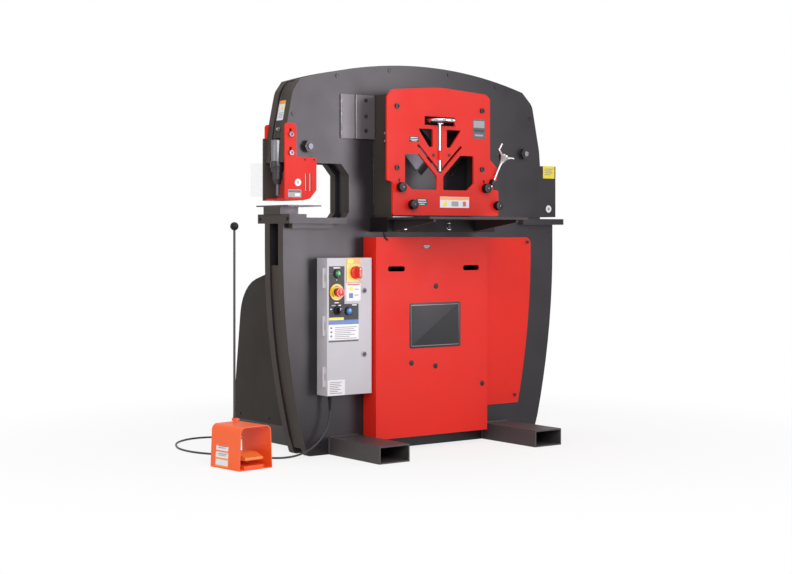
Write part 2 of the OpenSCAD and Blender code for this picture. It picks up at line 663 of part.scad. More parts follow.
module spindle_bearing() {
    color("#2b2a2c") difference() {
        block([shear_x - 11, shear_x + 11], [guard_y, guard_back], bearing_z);
        translate([shear_x, spindle_y, bearing_z[0] + 4]) cylinder(r = spindle_d / 2 + fit, h = 60, $fn = 48);
    }
}
module handwheel() {
    r = wheel_d / 2;
    color("#d6d8dc") translate([shear_x, spindle_y, 0]) {
        translate([0, 0, bearing_z[0] + 5]) cylinder(r = spindle_d / 2, h = wheel_z - bearing_z[0], $fn = 48);
        translate([0, 0, wheel_z]) {
            rotate_extrude($fn = 96) translate([r - 8, 0]) circle(r = 8, $fn = 32);
            translate([0, 0, -14]) cylinder(r = 17, h = 24, $fn = 48);
            for (a = [90, 210, 330]) rotate(a) rotate([0, 90, 0]) cylinder(r = 6, h = r - 10, $fn = 24);
        }
    }
}
clamp_at = [shear_x + 305, guard_y - 12, work_h + 164];
clamp_tilt = 28;
module on_clamp() { translate(clamp_at) rotate([0, clamp_tilt, 0]) children(); }
module clamp_bracket() {
    color("#2b2a2c") on_clamp() difference() {
        translate([-12, -12, -12]) cube([24, 24, 24]);
        translate([0, 0, -20]) cylinder(r = 5 + fit, h = 40, $fn = 48);
    }
}
module clamp_foot() {
    color("#b8babf") on_clamp() difference() {
        translate([0, 0, -32]) cylinder(r = 6, h = 10, $fn = 48);
        translate([0, 0, -28]) cylinder(r = 3 + fit, h = 10, $fn = 48);
    }
}
module star_handle() {
    color("#d6d8dc") on_clamp() {
        translate([0, 0, -27.5]) cylinder(r = 3, h = 10, $fn = 48);
        translate([0, 0, -21.5]) cylinder(r = 5, h = 130, $fn = 48);
        translate([0, 0, 100]) cylinder(r = 15, h = 26, $fn = 48);
        for (a = [30, 150, 270]) rotate(a) translate([8, 0, 113]) rotate([0, 68, 0])
            cylinder(r = 7, h = 46, $fn = 24);
    }
}

// ---- tables, bolster and covers on the front ----
module shear_bolster() {
    color("#2f2c2d") difference() {
        block([shear_x - 290, shear_x + 333], [-face - bolster_out, -face], [work_h - 65, work_h]);
        for (x = [-190, 60, 250]) translate([shear_x + x, -face - bolster_out - 1, work_h - 40])
            rotate([-90, 0, 0]) cylinder(r = 7, h = 30, $fn = 32);
    }
}
module shear_table() {
    y0 = -face - table_out;
    y1 = -face - bolster_out;
    color("#5b565a") {
        block([shear_x - 290, shear_x + 270], [y0, y1], [work_h - table_t, work_h]);
        for (x = [shear_x - 257, shear_x + 213]) yz(x, x + 10) polygon([[y1, work_h - table_t],
            [y0 + 14, work_h - table_t], [y0 + 14, work_h - table_t - 12], [y1, work_h - 62]]);
    }
}
module pad_plate() {
    x0 = throat_back - 43;
    color("#5e5a62") {
        block([x0, x0 + 73], [-face - 7, -face], [work_h + 353, work_h + 549]);
        block([x0 + 73, x0 + 176], [-face - 12, -face], [work_h + 353, work_h + 549]);
    }
}
module end_guard() {
    x = [head_right, head_right + 103];
    z = [work_h + 10, work_h + 260];
    color("#4a464b") difference() {
        block(x, [-face, face], z);
        block([x[0] - 1, x[1] - sheet], [-face + sheet, face - sheet], [z[0] - 1, z[1] - sheet]);
    }
}
module end_table() {
    z = [work_h - 28, work_h];
    color("#4d494e") {
        block([right - 218, right + 46], [-face - 30, -face], z);
        block([head_right, right + 46], [-face, face + 30], z);
    }
}
cover_y = -face - 96;
cover_x = [shear_x - 327, shear_x + 318];
cover_z = [58, work_h - 88];
slot_z = work_h - 231;
module front_cover() {
    color("#e8392c") difference() {
        block(cover_x, [cover_y, -face], cover_z);
        block([cover_x[0] + sheet, cover_x[1] - sheet], [cover_y + sheet, -face + 1],
            [cover_z[0] - 1, cover_z[1] - sheet]);
        for (x = [shear_x - 213, shear_x + 220]) xz(cover_y - 1, cover_y + sheet + 1)
            polygon(rounded([[x - 48, slot_z - 12, 11], [x + 48, slot_z - 12, 11],
                [x + 48, slot_z + 12, 11], [x - 48, slot_z + 12, 11]]));
    }
}
module side_panel() {
    z = [work_h - 890, work_h - 90];
    color("#d82f28") xz(-face - 6, -face) polygon(rounded(concat([[cover_x[1], z[0], 0]],
        [for (i = [0:8]) let (h = z[0] + (z[1] - 40 - z[0]) * i / 8) [side_x(h) - 150, h, 0]],
        [[right - 150, z[1], 30], [cover_x[1], z[1], 0]])));
}

// ---- control box on the front plate ----
box_x = [left + box_in, left + box_in + box_w];
box_zz = [box_z, box_z + box_h];
door_y = [-face - box_d, -face - box_d + 19];
hinge = [box_x[0] - 6, door_y[1] + slip / 2];
hinge_z = [box_z + 39, box_z + 262, box_z + 471];
gland = [left + 216, -face - 42];
green_at = [box_x[0] + 55, box_z + 534];
stop_at = [box_x[0] + 50, box_z + 453];
black_at = [box_x[0] + 55, box_z + 372];
blue_at = [box_x[0] + 114, box_z + 368];
isolator_at = [box_x[0] + 151, box_z + 537];
latch_at = [[box_x[1] - 42, box_z + 457], [box_x[1] - 42, box_z + 175]];
panel = door_y[0];          // front face of the door

// One hinge knuckle and its leaf, from z0 to z1; side is 1 for the box, -1 for the door
module knuckle(z0, z1, side) {
    translate([hinge[0], hinge[1], z0]) cylinder(r = 5.5, h = z1 - z0, $fn = 32);
    block([hinge[0], box_x[0] + 1], [hinge[1] + side * 4 - 1.5, hinge[1] + side * 4 + 1.5], [z0, z1]);
}
module control_box() {
    y0 = door_y[1] + slip;
    color("#b9b6c0") difference() {
        union() {
            block(box_x, [y0, -face], box_zz);
            for (z = hinge_z) knuckle(z + 30, z + 58, 1);
        }
        block([box_x[0] + 2, box_x[1] - 2], [y0 - 1, -face - 2], [box_zz[0] + 2, box_zz[1] - 2]);
        for (z = hinge_z) translate([hinge[0], hinge[1], z - 1]) cylinder(r = 3 + fit, h = 90, $fn = 32);
    }
    color("#2b2a2c") translate([gland[0], gland[1], box_z]) difference() {
        union() {
            translate([0, 0, -8]) cylinder(r = 12, h = 8, $fn = 6);
            translate([0, 0, -22]) cylinder(r = 9, h = 14, $fn = 48);
        }
        translate([0, 0, -23]) cylinder(r = cord_r + 0.5, h = 16, $fn = 32);
    }
}
module box_door() {
    color("#b9b6c0") difference() {
        union() {
            block(box_x, door_y, box_zz);
            for (z = hinge_z) {
                knuckle(z, z + 29, -1);
                knuckle(z + 59, z + 88, -1);
            }
        }
        block([box_x[0] + 2, box_x[1] - 2], [panel + 2, door_y[1] + 1], [box_zz[0] + 2, box_zz[1] - 2]);
        for (p = concat([green_at, stop_at, black_at, blue_at, isolator_at], latch_at))
            rod_y(p, 9 + fit, panel - 1, panel + 3, 48);
    }
    color("#77747a") for (z = hinge_z) translate([hinge[0], hinge[1], z]) cylinder(r = 3, h = 88, $fn = 32);
    color("#8d8c92") for (p = [green_at, black_at, blue_at]) difference() {
        rod_y(p, 19, panel - 6, panel, 48);
        rod_y(p, 15, panel - 7, panel + 1, 48);
    }
    color("#e9c32c") {
        difference() {
            rod_y(stop_at, 36, panel - 4, panel, 64);
            rod_y(stop_at, 10, panel - 5, panel + 1, 48);
        }
        difference() {
            block([isolator_at[0] - 48, isolator_at[0] + 19], [panel - 3, panel],
                [isolator_at[1] - 42, isolator_at[1] + 38]);
            rod_y(isolator_at, 10, panel - 4, panel + 1, 48);
        }
    }
}
// A round operator: a cap in front of the door and a stem through it
module operator(p, cap_r, front, back) {
    rod_y(p, cap_r, panel - front, panel - back, 48);
    rod_y(p, 9, panel - back, panel + 14, 48);
}
module start_button() { color("#1f8f5a") operator(green_at, 14, 10, 4.5); }
module reset_button() { color("#2b55b5") operator(blue_at, 14, 10, 4.5); }
module stop_button() {
    color("#d8231f") {
        operator(stop_at, 14, 20, 12);
        rod_y(stop_at, 20, panel - 34, panel - 20, 64);
    }
}
module mode_selector() {
    color("#26252a") {
        operator(black_at, 14, 10, 1);
        block([black_at[0] - 4, black_at[0] + 4], [panel - 22, panel - 10], [black_at[1] - 13, black_at[1] + 13]);
    }
}
module isolator_knob() {
    color("#d8231f") {
        operator(isolator_at, 24, 14, 4);
        block([isolator_at[0] - 8, isolator_at[0] + 8], [panel - 32, panel - 14],
            [isolator_at[1] - 24, isolator_at[1] + 24]);
    }
}
module latch(p) {
    color("#8f9094") {
        operator(p, 13, 5, slip);
        block([p[0] - 7, p[0] + 7], [panel + 14, panel + 17], [p[1] - 9, p[1] + 30]);
    }
}
module latch_upper() { latch(latch_at[0]); }
module latch_lower() { latch(latch_at[1]); }

// ---- foot switch on the floor ----
foot_at = [-1047, -158, 0];
foot_turn = 6;
module on_foot() { translate(foot_at) rotate(foot_turn) children(); }
hx = foot_w / 2;
hy = foot_l / 2;
pedal_pin = [hy - 34, 42];
module foot_guard() {
    color("#f4662f") on_foot() {
        xz(-hy, hy) difference() {
            polygon(rounded([[-hx, 0, 0], [hx, 0, 0], [hx - 8, foot_h, 26], [-hx + 8, foot_h, 26]]));
            polygon(rounded([[-hx + 4, 4, 0], [hx - 4, 4, 0], [hx - 12, foot_h - 4, 22],
                [-hx + 12, foot_h - 4, 22]]));
        }
        translate([-50, -hy + 14, 4]) cube([100, foot_l - 24, 12]);
        translate([52, hy - 6, 4]) cube([hx - 56, 4, 30]);
        for (x = [-56, 48]) difference() {
            translate([x, pedal_pin[0] - 12, 4]) cube([8, 24, 50]);
            yz(x - 1, x + 9) translate(pedal_pin) circle(r = 5 + fit, $fn = 32);
        }
    }
    color("#2b2a2c") on_foot() translate([66, hy - 10, 20]) rotate([-90, 0, 0]) difference() {
        cylinder(r = 10, h = 24, $fn = 48);
        translate([0, 0, 10]) cylinder(r = cord_r + 0.5, h = 15, $fn = 32);
    }
}
module foot_pedal() {
    color("#e2561f") on_foot() {
        yz(-46, 46) polygon(rounded([[-hy + 12, 38, 3], [-hy + 12, 50, 4], [-hy + 60, 66, 40],
            [hy - 62, 64, 40], [hy - 22, 50, 6], [hy - 22, 35, 4]]));
        yz(-56, 56) translate(pedal_pin) circle(r = 5, $fn = 32);
    }
}
module carry_rod() {
    color("#8f9094") on_foot() translate([44, hy + 8, 0]) {
        translate([0, 0, 6]) cylinder(r = 5, h = rod_top - 18, $fn = 32);
        translate([-8, -24, foot_h]) cube([16, 32, 12]);
    }
    color("#1c1b1d") on_foot() translate([44, hy + 8, rod_top]) sphere(r = 18, $fn = 48);
}

// ---- foot switch's cord ----
cord_points = [[gland[0], gland[1], 252], [gland[0], gland[1], 215], [-575, -118, 160], [-595, -118, 110],
    [-632, -116, 66], [-678, -110, 34], [-728, -96, 14], [-785, -70, 5], [-845, -25, 5], [-890, 35, 5],
    [-925, 110, 5], [-965, 200, 5], [-1002, 285, 5], [-1015, 370, 5], [-1005, 460, 5], [-970, 550, 5],
    [-925, 625, 5], [-865, 682, 5], [-790, 718, 5], [-715, 716, 5], [-650, 680, 5], [-606, 620, 5],
    [-598, 545, 5], [-612, 460, 5], [-650, 370, 5], [-705, 280, 5], [-770, 190, 5], [-818, 125, 7],
    [-860, 90, 13], [-902, 72, 19], [-946, 58, 17], [-980, 32, 16], [-996, 0, 19], [-995, -25, 20],
    [-992, -49, 20]];
cord_steps = 2;
function spline(a, b, c, d, t) = 0.5 * (2 * b + (c - a) * t + (2 * a - 5 * b + 4 * c - d) * t * t
    + (3 * b - a - 3 * c + d) * t * t * t);
function cord_line() = let (p = cord_points, n = len(p)) concat(
    [for (i = [0:n - 2], k = [0:cord_steps - 1])
        spline(p[max(i - 1, 0)], p[i], p[i + 1], p[min(i + 2, n - 1)], k / cord_steps)], [p[n - 1]]);
function unit(v) = v / norm(v);
module foot_cord() {
    line = cord_line();
    n = len(line);
    sides = 8;
    run = [for (i = [0:n - 1]) unit(line[min(i + 1, n - 1)] - line[max(i - 1, 0)])];
    lift = [for (i = 0, v = [1, 0, 0]; i < n;
        v = i + 1 < n ? unit(v - (v * run[i + 1]) * run[i + 1]) : v, i = i + 1) v];
    color("#2a2a2c") polyhedron(
        points = [for (i = [0:n - 1], k = [0:sides - 1]) line[i]
            + cord_r * (cos(360 * k / sides) * lift[i] + sin(360 * k / sides) * cross(run[i], lift[i]))],
        faces = concat([[for (k = [0:sides - 1]) k]],
            [for (i = [0:n - 2], k = [0:sides - 1]) [i * sides + k, (i + 1) * sides + k,
                (i + 1) * sides + (k + 1) % sides, i * sides + (k + 1) % sides]],
            [[for (k = [sides - 1:-1:0]) (n - 1) * sides + k]]));
}

front_plate();
rear_plate();
crown_strip();
side_strips();
fork_tube_left();
fork_tube_right();
rear_deck();
rear_cover();
oil_tank();
pump_motor();
valve_block();
oil_pipes();
tie_bolt();
frame_pins();
face_screws();
pad_plate();
guard_frame();
shear_guard();
shear_bolster();
shear_table();
fixed_blades();
end_guard();
end_table();
front_cover();
side_panel();
control_box();
punch_bolster();
die_holder();
die();
punch_table();
spindle_bearing();
clamp_bracket();
foot_guard();
carry_rod();
foot_cord();
beam();
moving_blades();
punch_ram();
punch_tool();
cylinder_barrel();
piston_rod();
stripper();
clear_guard();
handwheel();
spindle_nut();
clamp_foot();
star_handle();
hold_down();
knob_left();
knob_right();
box_door();
latch_upper();
latch_lower();
start_button();
reset_button();
stop_button();
mode_selector();
isolator_knob();
foot_pedal();
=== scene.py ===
"""Finishes, small fittings, labels, cord and studio for a hydraulic ironworker.

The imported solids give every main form. This script paints them, adds what is too fine for them, and lights
the machine in a plain pale studio. Lengths in the classes are millimetres in the model's own frame: +X to the
machine's right, +Y to the back, +Z up from the floor, with the origin in the middle of the frame plates.
"""
from __future__ import annotations

import logging
import math
from dataclasses import dataclass, field
from enum import Enum
from typing import Callable, Sequence

import bmesh
import bpy
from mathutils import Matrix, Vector

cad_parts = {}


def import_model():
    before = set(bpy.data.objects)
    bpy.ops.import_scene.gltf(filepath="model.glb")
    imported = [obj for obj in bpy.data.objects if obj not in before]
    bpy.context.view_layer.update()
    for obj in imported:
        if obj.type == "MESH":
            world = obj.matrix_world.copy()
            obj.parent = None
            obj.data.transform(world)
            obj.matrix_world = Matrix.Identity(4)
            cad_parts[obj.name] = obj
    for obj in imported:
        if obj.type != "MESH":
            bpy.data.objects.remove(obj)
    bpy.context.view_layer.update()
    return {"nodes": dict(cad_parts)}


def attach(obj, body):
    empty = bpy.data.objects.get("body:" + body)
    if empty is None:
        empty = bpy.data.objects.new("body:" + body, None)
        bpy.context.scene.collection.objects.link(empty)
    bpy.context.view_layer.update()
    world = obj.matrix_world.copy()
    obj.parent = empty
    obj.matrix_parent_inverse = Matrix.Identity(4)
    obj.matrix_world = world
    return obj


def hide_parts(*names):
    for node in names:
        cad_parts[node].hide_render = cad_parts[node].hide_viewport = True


LOG = logging.getLogger("ironworker")
MM = 0.001
Point = tuple[float, float, float]
Flat = tuple[float, float]
ACROSS, UP = (1, 0, 0), (0, 0, 1)


def srgb(code: str) -> tuple[float, float, float, float]:
    """Turn an sRGB hex colour into linear RGBA.

    Args:
        code: six hex digits after a hash sign.

    Returns:
        Red, green and blue in linear light, and an alpha of 1.
    """
    parts = [int(code[i:i + 2], 16) / 255 for i in (1, 3, 5)]
    return tuple(c / 12.92 if c <= 0.04045 else ((c + 0.055) / 1.055) ** 2.4 for c in parts) + (1.0,)


def add_node(tree: bpy.types.NodeTree, kind: str, links: dict | None = None,
             sockets: dict | None = None, **settings: object) -> bpy.types.Node:
    """Add one shader node.

    Args:
        tree: the tree that takes the node.
        kind: the node's type name, without "ShaderNode".
        links: input name or number to the output socket that feeds it.
        sockets: input name or number to its fixed value.
        **settings: the node's own properties.

    Returns:
        The new node.
    """
    node = tree.nodes.new("ShaderNode" + kind)
    for name, value in settings.items():
        setattr(node, name, value)
    for name, value in (sockets or {}).items():
        node.inputs[name].default_value = value
    for name, output in (links or {}).items():
        tree.links.new(output, node.inputs[name])
    return node


class Surface(Enum):
    """How a finish was made, which sets the relief and streaks it shows."""

    SPRAYED = "sprayed"
    BRUSHED = "brushed"
    GROUND = "ground"
    MOULDED = "moulded"
    POLISHED = "polished"
    CAST = "cast"
    PRINTED = "printed"
    CLEAR = "clear"


@dataclass(frozen=True)
class Finish:
    """One real finish.

    Attributes:
        name: the material's plain name.
        colour: its sRGB colour.
        surface: how it was made.
        roughness: the mean roughness.
        metallic: 1 for bare metal, 0 for paint and plastic, between for oiled or oxidised metal.
        worn: sRGB colour of rubbed edges, or empty for none.
        relief: height of the surface relief, in millimetres.
        drift: how far the colour wanders over the surface, as a share.
        gloss: the specular level, 0.5 for a plain varnish and less for a chalky coat.
        coat: strength of a clear top layer.
    """

    name: str
    colour: str
    surface: Surface
    roughness: float
    metallic: float = 0.0
    worn: str = ""
    relief: float = 0.02
    drift: float = 0.08
    gloss: float = 0.5
    coat: float = 0.0


def operator_plastic(name: str, colour: str, roughness: float = 0.25, coat: float = 0.3) -> Finish:
    """Give the smooth moulded plastic of a push button or its plate."""
    return Finish(name, colour, Surface.MOULDED, roughness, relief=0.005, drift=0.03, coat=coat)


def vinyl(name: str, colour: str) -> Finish:
    """Give a screen-printed vinyl film of one colour."""
    return Finish(name + " vinyl film", colour, Surface.PRINTED, 0.42, relief=0.004, drift=0.02, coat=0.1)


# Polyester powder coat, sprayed and stoved: a fine orange peel and a soft satin sheen.
FRAME_PAINT = Finish("charcoal powder coat", "#282529", Surface.SPRAYED, 0.34, 0.0,
                     "#6b686e", 0.03, 0.06, 0.28)
# The same kind of coat, duller and browner: the strips, the rear cover, the fork tubes, the table. The umber
# one also paints shade on the plates' cut edges and on left faces, which face away from the key light.
UMBER_COAT_AND_SIDE_SHADE = Finish("umber coat and painted side shade", "#443d38", Surface.SPRAYED, 0.55, 0.0, "#6d6863", 0.03, 0.10, 0.15)
COVER_PAINT = Finish("brown grey powder coat", "#302a26", Surface.SPRAYED, 0.55, 0.0,
                     "#6c6660", 0.03, 0.12, 0.15)
TUBE_PAINT = Finish("dark powder coat", "#453f40", Surface.SPRAYED, 0.50, 0.0, "#6d6a6c", 0.03, 0.12, 0.3)
TABLE_PAINT = Finish("dull dark powder coat", "#2b2729", Surface.SPRAYED, 0.55, 0.0,
                     "#5d5a5d", 0.03, 0.10, 0.2)
# The frame's coat over a bead-blasted pad, which leaves it paler.
PAD_PAINT = Finish("charcoal coat on blasted plate", "#544f53", Surface.SPRAYED, 0.42, 0.0,
                   "#a09ba0", 0.04, 0.12)
# Stove enamel on the shear bolster: near black, with little shine. Its near black is partly painted shade,
# for the shade under the shear table.
BOLSTER_BLACK_AND_SHADE = Finish("near black enamel and under table shade", "#1d191a", Surface.SPRAYED, 0.55, 0.0,
                      "#4a4547", 0.03, 0.10, 0.12)
# Red enamel over steel sheet: smooth and even, with a low silky shine.
RED_PAINT = Finish("signal red enamel", "#ec2c20", Surface.SPRAYED, 0.50, 0.0, "#f0604a", 0.015, 0.04, 0.12)
# Orange enamel on the pressed guard of the foot switch, and a lighter one on its pedal.
ORANGE_PAINT = Finish("orange enamel", "#fa6220", Surface.SPRAYED, 0.45, 0.0, "#f98a55", 0.015, 0.05)
PEDAL_PAINT = Finish("light orange enamel", "#ff8a3c", Surface.SPRAYED, 0.45, 0.0, "#ffab77", 0.015, 0.05)
# Light grey textured powder coat of a switchgear box, with a thin hard skin.
BOX_PAINT = Finish("light grey powder coat", "#c0bdc3", Surface.SPRAYED, 0.50, 0.0,
                   "#cfcdd3", 0.02, 0.04, coat=0.05)
# Primer on the oil tank and bare cast housings of the pump motor, under the rear cover.
OXIDE_TANK = Finish("blue grey primer", "#3f4a52", Surface.SPRAYED, 0.55, 0.0, "#5d6870", 0.02, 0.08)
MOTOR_CAST = Finish("cast aluminium", "#7a7e83", Surface.CAST, 0.48, 0.7, "#a5a8ab", 0.05, 0.10)
# Weld metal with the coat rubbed off its ripples; its pale grey, and the near-white on its ripples, also
# paint the beads' highlights.
WELD_METAL_AND_GLINTS = Finish("weld metal and painted glints", "#8d888b", Surface.CAST, 0.42, 0.6, "#cfcbce", 0.05, 0.20)
# Machined mild steel, blued by oil: dark, with fine cutter lines.
DARK_STEEL = Finish("oiled machined steel", "#3f3c3f", Surface.BRUSHED, 0.42, 0.75, "#8a878a", 0.02, 0.15)
# Ground ram steel, dulled by oil.
RAM_STEEL = Finish("ground ram steel", "#77747a", Surface.BRUSHED, 0.40, 0.8, "#a5a2a7", 0.01, 0.10)
# Hardened tool steel, ground on its faces.
TOOL_STEEL = Finish("ground tool steel", "#66646a", Surface.GROUND, 0.48, 1.0, "#b9b7ba", 0.01, 0.12)
# Black oxide on screws and blocks: a thin dark skin that lets a little metal through.
BLACK_OXIDE = Finish("black oxide steel", "#1c1b1d", Surface.CAST, 0.42, 0.4, "#4c4a4c", 0.02, 0.15, 0.3)
# Nickel and chrome plate, polished: shows the studio in it.
CHROME = Finish("polished chrome plate", "#b9babe", Surface.POLISHED, 0.10, 1.0, "", 0.004, 0.04)
# The same plate, handled dull.
SATIN_CHROME = Finish("satin chrome plate", "#a39c9e", Surface.BRUSHED, 0.26, 1.0, "", 0.006, 0.10)
# Zinc plate on small screws.
ZINC = Finish("bright zinc plate", "#9b9995", Surface.BRUSHED, 0.38, 1.0, "", 0.01, 0.10)
# Nylon and phenolic mouldings, with a dull eggshell skin.
BLACK_NYLON = Finish("black nylon", "#121113", Surface.MOULDED, 0.45, 0.0, "#2a292b", 0.02, 0.10, 0.2)
# Moulded plastic of the operators: bright, even and glossy.
GREEN_LENS = operator_plastic("green operator plastic", "#178a4c")
BLUE_LENS = operator_plastic("blue operator plastic", "#1a72bb")
RED_LENS = operator_plastic("red operator plastic", "#e22c1e", 0.28)
YELLOW_PLATE = operator_plastic("yellow operator plate", "#f0c51e", 0.38, 0.1)
# Extruded PVC sheath of the foot switch's lead.
CORD_PVC = Finish("black PVC sheath", "#222124", Surface.MOULDED, 0.48)
# Cast polycarbonate sheet: clear, with a faint scuff.
CLEAR_SHEET = Finish("clear polycarbonate", "#e8edf0", Surface.CLEAR, 0.05)
# Screen-printed vinyl films, flat and a little glossy.
VINYL_WHITE = vinyl("white", "#e9e7ea")
VINYL_YELLOW = vinyl("yellow", "#f4dc16")
VINYL_AMBER = vinyl("amber", "#f29a1c")
VINYL_BLUE = vinyl("blue", "#1f63ad")
VINYL_GREY = vinyl("grey", "#8d8b90")
# The black film also serves as painted shade in the nose seam and in the guard's black marks.
BLACK_VINYL_AND_SHADE = vinyl("black", "#201f22")
VINYL_RED = vinyl("red", "#c5281f")
DARK_FILM = Finish("charcoal vinyl film", "#2a2b2e", Surface.PRINTED, 0.45, 0.0, "", 0.004, 0.03, 0.25)


class PaintShop:
    """Turns finishes into materials, once each."""

    def __init__(self) -> None:
        """Start with no materials."""
        self.made: dict[str, bpy.types.Material] = {}

    def material(self, finish: Finish) -> bpy.types.Material:
        """Give the material of a finish, made on first use.

        Args:
            finish: the finish to mix.

        Returns:
            Its Blender material.
        """
        if finish.name not in self.made:
            self.made[finish.name] = self._mix(finish)
        return self.made[finish.name]

    def _mix(self, finish: Finish) -> bpy.types.Material:
        """Build the node tree of one finish.

        Args:
            finish: the finish to mix.

        Returns:
            The new material.
        """
        material = bpy.data.materials.new(finish.name)
        material.use_nodes = True
        tree = material.node_tree
        tree.nodes.clear()
        place = add_node(tree, "TexCoord").outputs["Object"]
        shader = add_node(tree, "BsdfPrincipled", sockets={
            "Metallic": finish.metallic, "Coat Weight": finish.coat, "Coat Roughness": 0.18,
            "Specular IOR Level": finish.gloss})
        add_node(tree, "OutputMaterial", {"Surface": shader.outputs[0]})
        material.diffuse_color = srgb(finish.colour)
        if finish.surface is Surface.CLEAR:
            self._clear(tree, shader, finish)
            return material
        # Slow drift of tone over about 150 mm, as pigment and handling leave it.
        cloud = add_node(tree, "TexNoise", {"Vector": place}, {"Scale": 6.5, "Detail": 3.0})
        base = srgb(finish.colour)
        tones = [tuple(min(1.0, c * (1 + s * finish.drift)) for c in base[:3]) + (1.0,) for s in (-1, 1)]
        colour = add_node(tree, "Mix", {"Factor": cloud.outputs["Fac"]}, {"A": tones[0], "B": tones[1]},
                          data_type="RGBA").outputs["Result"]
        colour = self._wear(tree, place, colour, finish)
        tree.links.new(colour, shader.inputs["Base Color"])
        grain = self._grain(tree, place, finish)
        spread = 0.25 if finish.metallic > 0.5 else 0.12
        rough = add_node(tree, "MapRange", {"Value": cloud.outputs["Fac"]}, {
            "From Min": 0.3, "From Max": 0.7, "To Min": finish.roughness * (1 - spread),
            "To Max": min(1.0, finish.roughness * (1 + spread))})
        tree.links.new(rough.outputs[0], shader.inputs["Roughness"])
        bump = add_node(tree, "Bump", {"Height": grain}, {"Strength": 1.0, "Distance": finish.relief * MM})
        tree.links.new(bump.outputs[0], shader.inputs["Normal"])
        return material

    @staticmethod
    def _clear(tree: bpy.types.NodeTree, shader: bpy.types.Node, finish: Finish) -> None:
        """Set up clear plastic: see-through, with a faint scuff in its gloss.

        Args:
            tree: the material's tree.
            shader: its principled shader.
            finish: the finish to mix.
        """
        place = add_node(tree, "TexCoord").outputs["Object"]
        # Wiping leaves scuffs in patches about 25 mm across.
        scuff = add_node(tree, "TexNoise", {"Vector": place}, {"Scale": 40.0, "Detail": 6.0})
        rough = add_node(tree, "MapRange", {"Value": scuff.outputs["Fac"]}, {
            "From Min": 0.35, "From Max": 0.75, "To Min": 0.03, "To Max": 0.16})
        tree.links.new(rough.outputs[0], shader.inputs["Roughness"])
        shader.inputs["Base Color"].default_value = srgb(finish.colour)
        shader.inputs["Alpha"].default_value = 0.14
        shader.inputs["IOR"].default_value = 1.58

    @staticmethod
    def _wear(tree: bpy.types.NodeTree, place: bpy.types.NodeSocket, colour: bpy.types.NodeSocket,
              finish: Finish) -> bpy.types.NodeSocket:
        """Rub the sharp edges back to a lighter tone, in patches.

        Args:
            tree: the material's tree.
            place: object coordinates.
            colour: the colour so far.
            finish: the finish to mix.

        Returns:
            The colour with worn edges.
        """
        if not finish.worn:
            return colour
        # An edge shows within about 1.5 mm, where the rounded normal leaves the flat one.
        soft = add_node(tree, "Bevel", sockets={"Radius": 1.5 * MM}, samples=3)
        flat = add_node(tree, "NewGeometry")
        turn = add_node(tree, "VectorMath", {0: soft.outputs[0], 1: flat.outputs["Normal"]},
                        operation="DOT_PRODUCT")
        edge = add_node(tree, "MapRange", {"Value": turn.outputs["Value"]}, {
            "From Min": 0.97, "From Max": 0.80, "To Min": 0.0, "To Max": 0.85})
        # Handling rubs the coat in patches about 18 mm across.
        patch = add_node(tree, "TexNoise", {"Vector": place}, {"Scale": 55.0, "Detail": 4.0})
        where = add_node(tree, "MapRange", {"Value": patch.outputs["Fac"]}, {
            "From Min": 0.40, "From Max": 0.62, "To Min": 0.25, "To Max": 1.0})
        both = add_node(tree, "Math", {0: edge.outputs[0], 1: where.outputs[0]}, operation="MULTIPLY")
        return add_node(tree, "Mix", {"Factor": both.outputs[0], "A": colour},
                        {"B": srgb(finish.worn)}, data_type="RGBA").outputs["Result"]

    @staticmethod
    def _grain(tree: bpy.types.NodeTree, place: bpy.types.NodeSocket,
               finish: Finish) -> bpy.types.NodeSocket:
        """Give the surface relief that the making leaves.

        Args:
            tree: the material's tree.
            place: object coordinates.
            finish: the finish to mix.

        Returns:
            A height between 0 and 1.
        """
        # Real orange peel is 1 to 2 mm across; drawn at 4 mm, the finest that shows.
        pitch = {Surface.SPRAYED: 4.0, Surface.BRUSHED: 2.5, Surface.GROUND: 1.5, Surface.MOULDED: 2.0,
                 Surface.POLISHED: 25.0, Surface.CAST: 3.0, Surface.PRINTED: 5.0}[finish.surface]
        # Brush marks run up and down, grinding marks across.
        stretch = {Surface.BRUSHED: (1.0, 1.0, 0.06),
                   Surface.GROUND: (0.05, 1.0, 1.0)}.get(finish.surface, (1, 1, 1))
        lined = add_node(tree, "Mapping", {"Vector": place}, {"Scale": stretch})
        return add_node(tree, "TexNoise", {"Vector": lined.outputs[0]},
                        {"Scale": 1 / (pitch * MM), "Detail": 2.0}).outputs["Fac"]


PAINT = PaintShop()


@dataclass(frozen=True)
class Place:
    """A flat working place: an origin and three directions, in millimetres.

    Attributes:
        at: where the drawing's origin goes.
        u: the drawing's first direction.
        v: the drawing's second direction.
    """

    at: Point
    u: Point = ACROSS
    v: Point = UP

    def point(self, a: float, b: float, out: float = 0.0) -> Vector:
        """Give the world point, in metres, of a drawing point raised by out."""
        u, v = Vector(self.u).normalized(), Vector(self.v).normalized()
        return (Vector(self.at) + u * a + v * b + u.cross(v) * out) * MM

    def turned(self, degrees: float) -> "Place":
        """Give this place with its drawing turned in its own plane."""
        c, s = math.cos(math.radians(degrees)), math.sin(math.radians(degrees))
        u, v = Vector(self.u), Vector(self.v)
        return Place(self.at, tuple(u * c + v * s), tuple(v * c - u * s))


def front(x: float, z: float, y: float) -> Place:
    """Give a place that faces the front, its drawing in X and Z."""
    return Place((x, y, z), ACROSS, UP)


def leftward(y: float, z: float, x: float) -> Place:
    """Give a place that faces the left, its drawing in -Y and Z."""
    return Place((x, y, z), (0, -1, 0), UP)


def upward(x: float, y: float, z: float) -> Place:
    """Give a place that faces up, its drawing in X and Y."""
    return Place((x, y, z), ACROSS, (0, 1, 0))


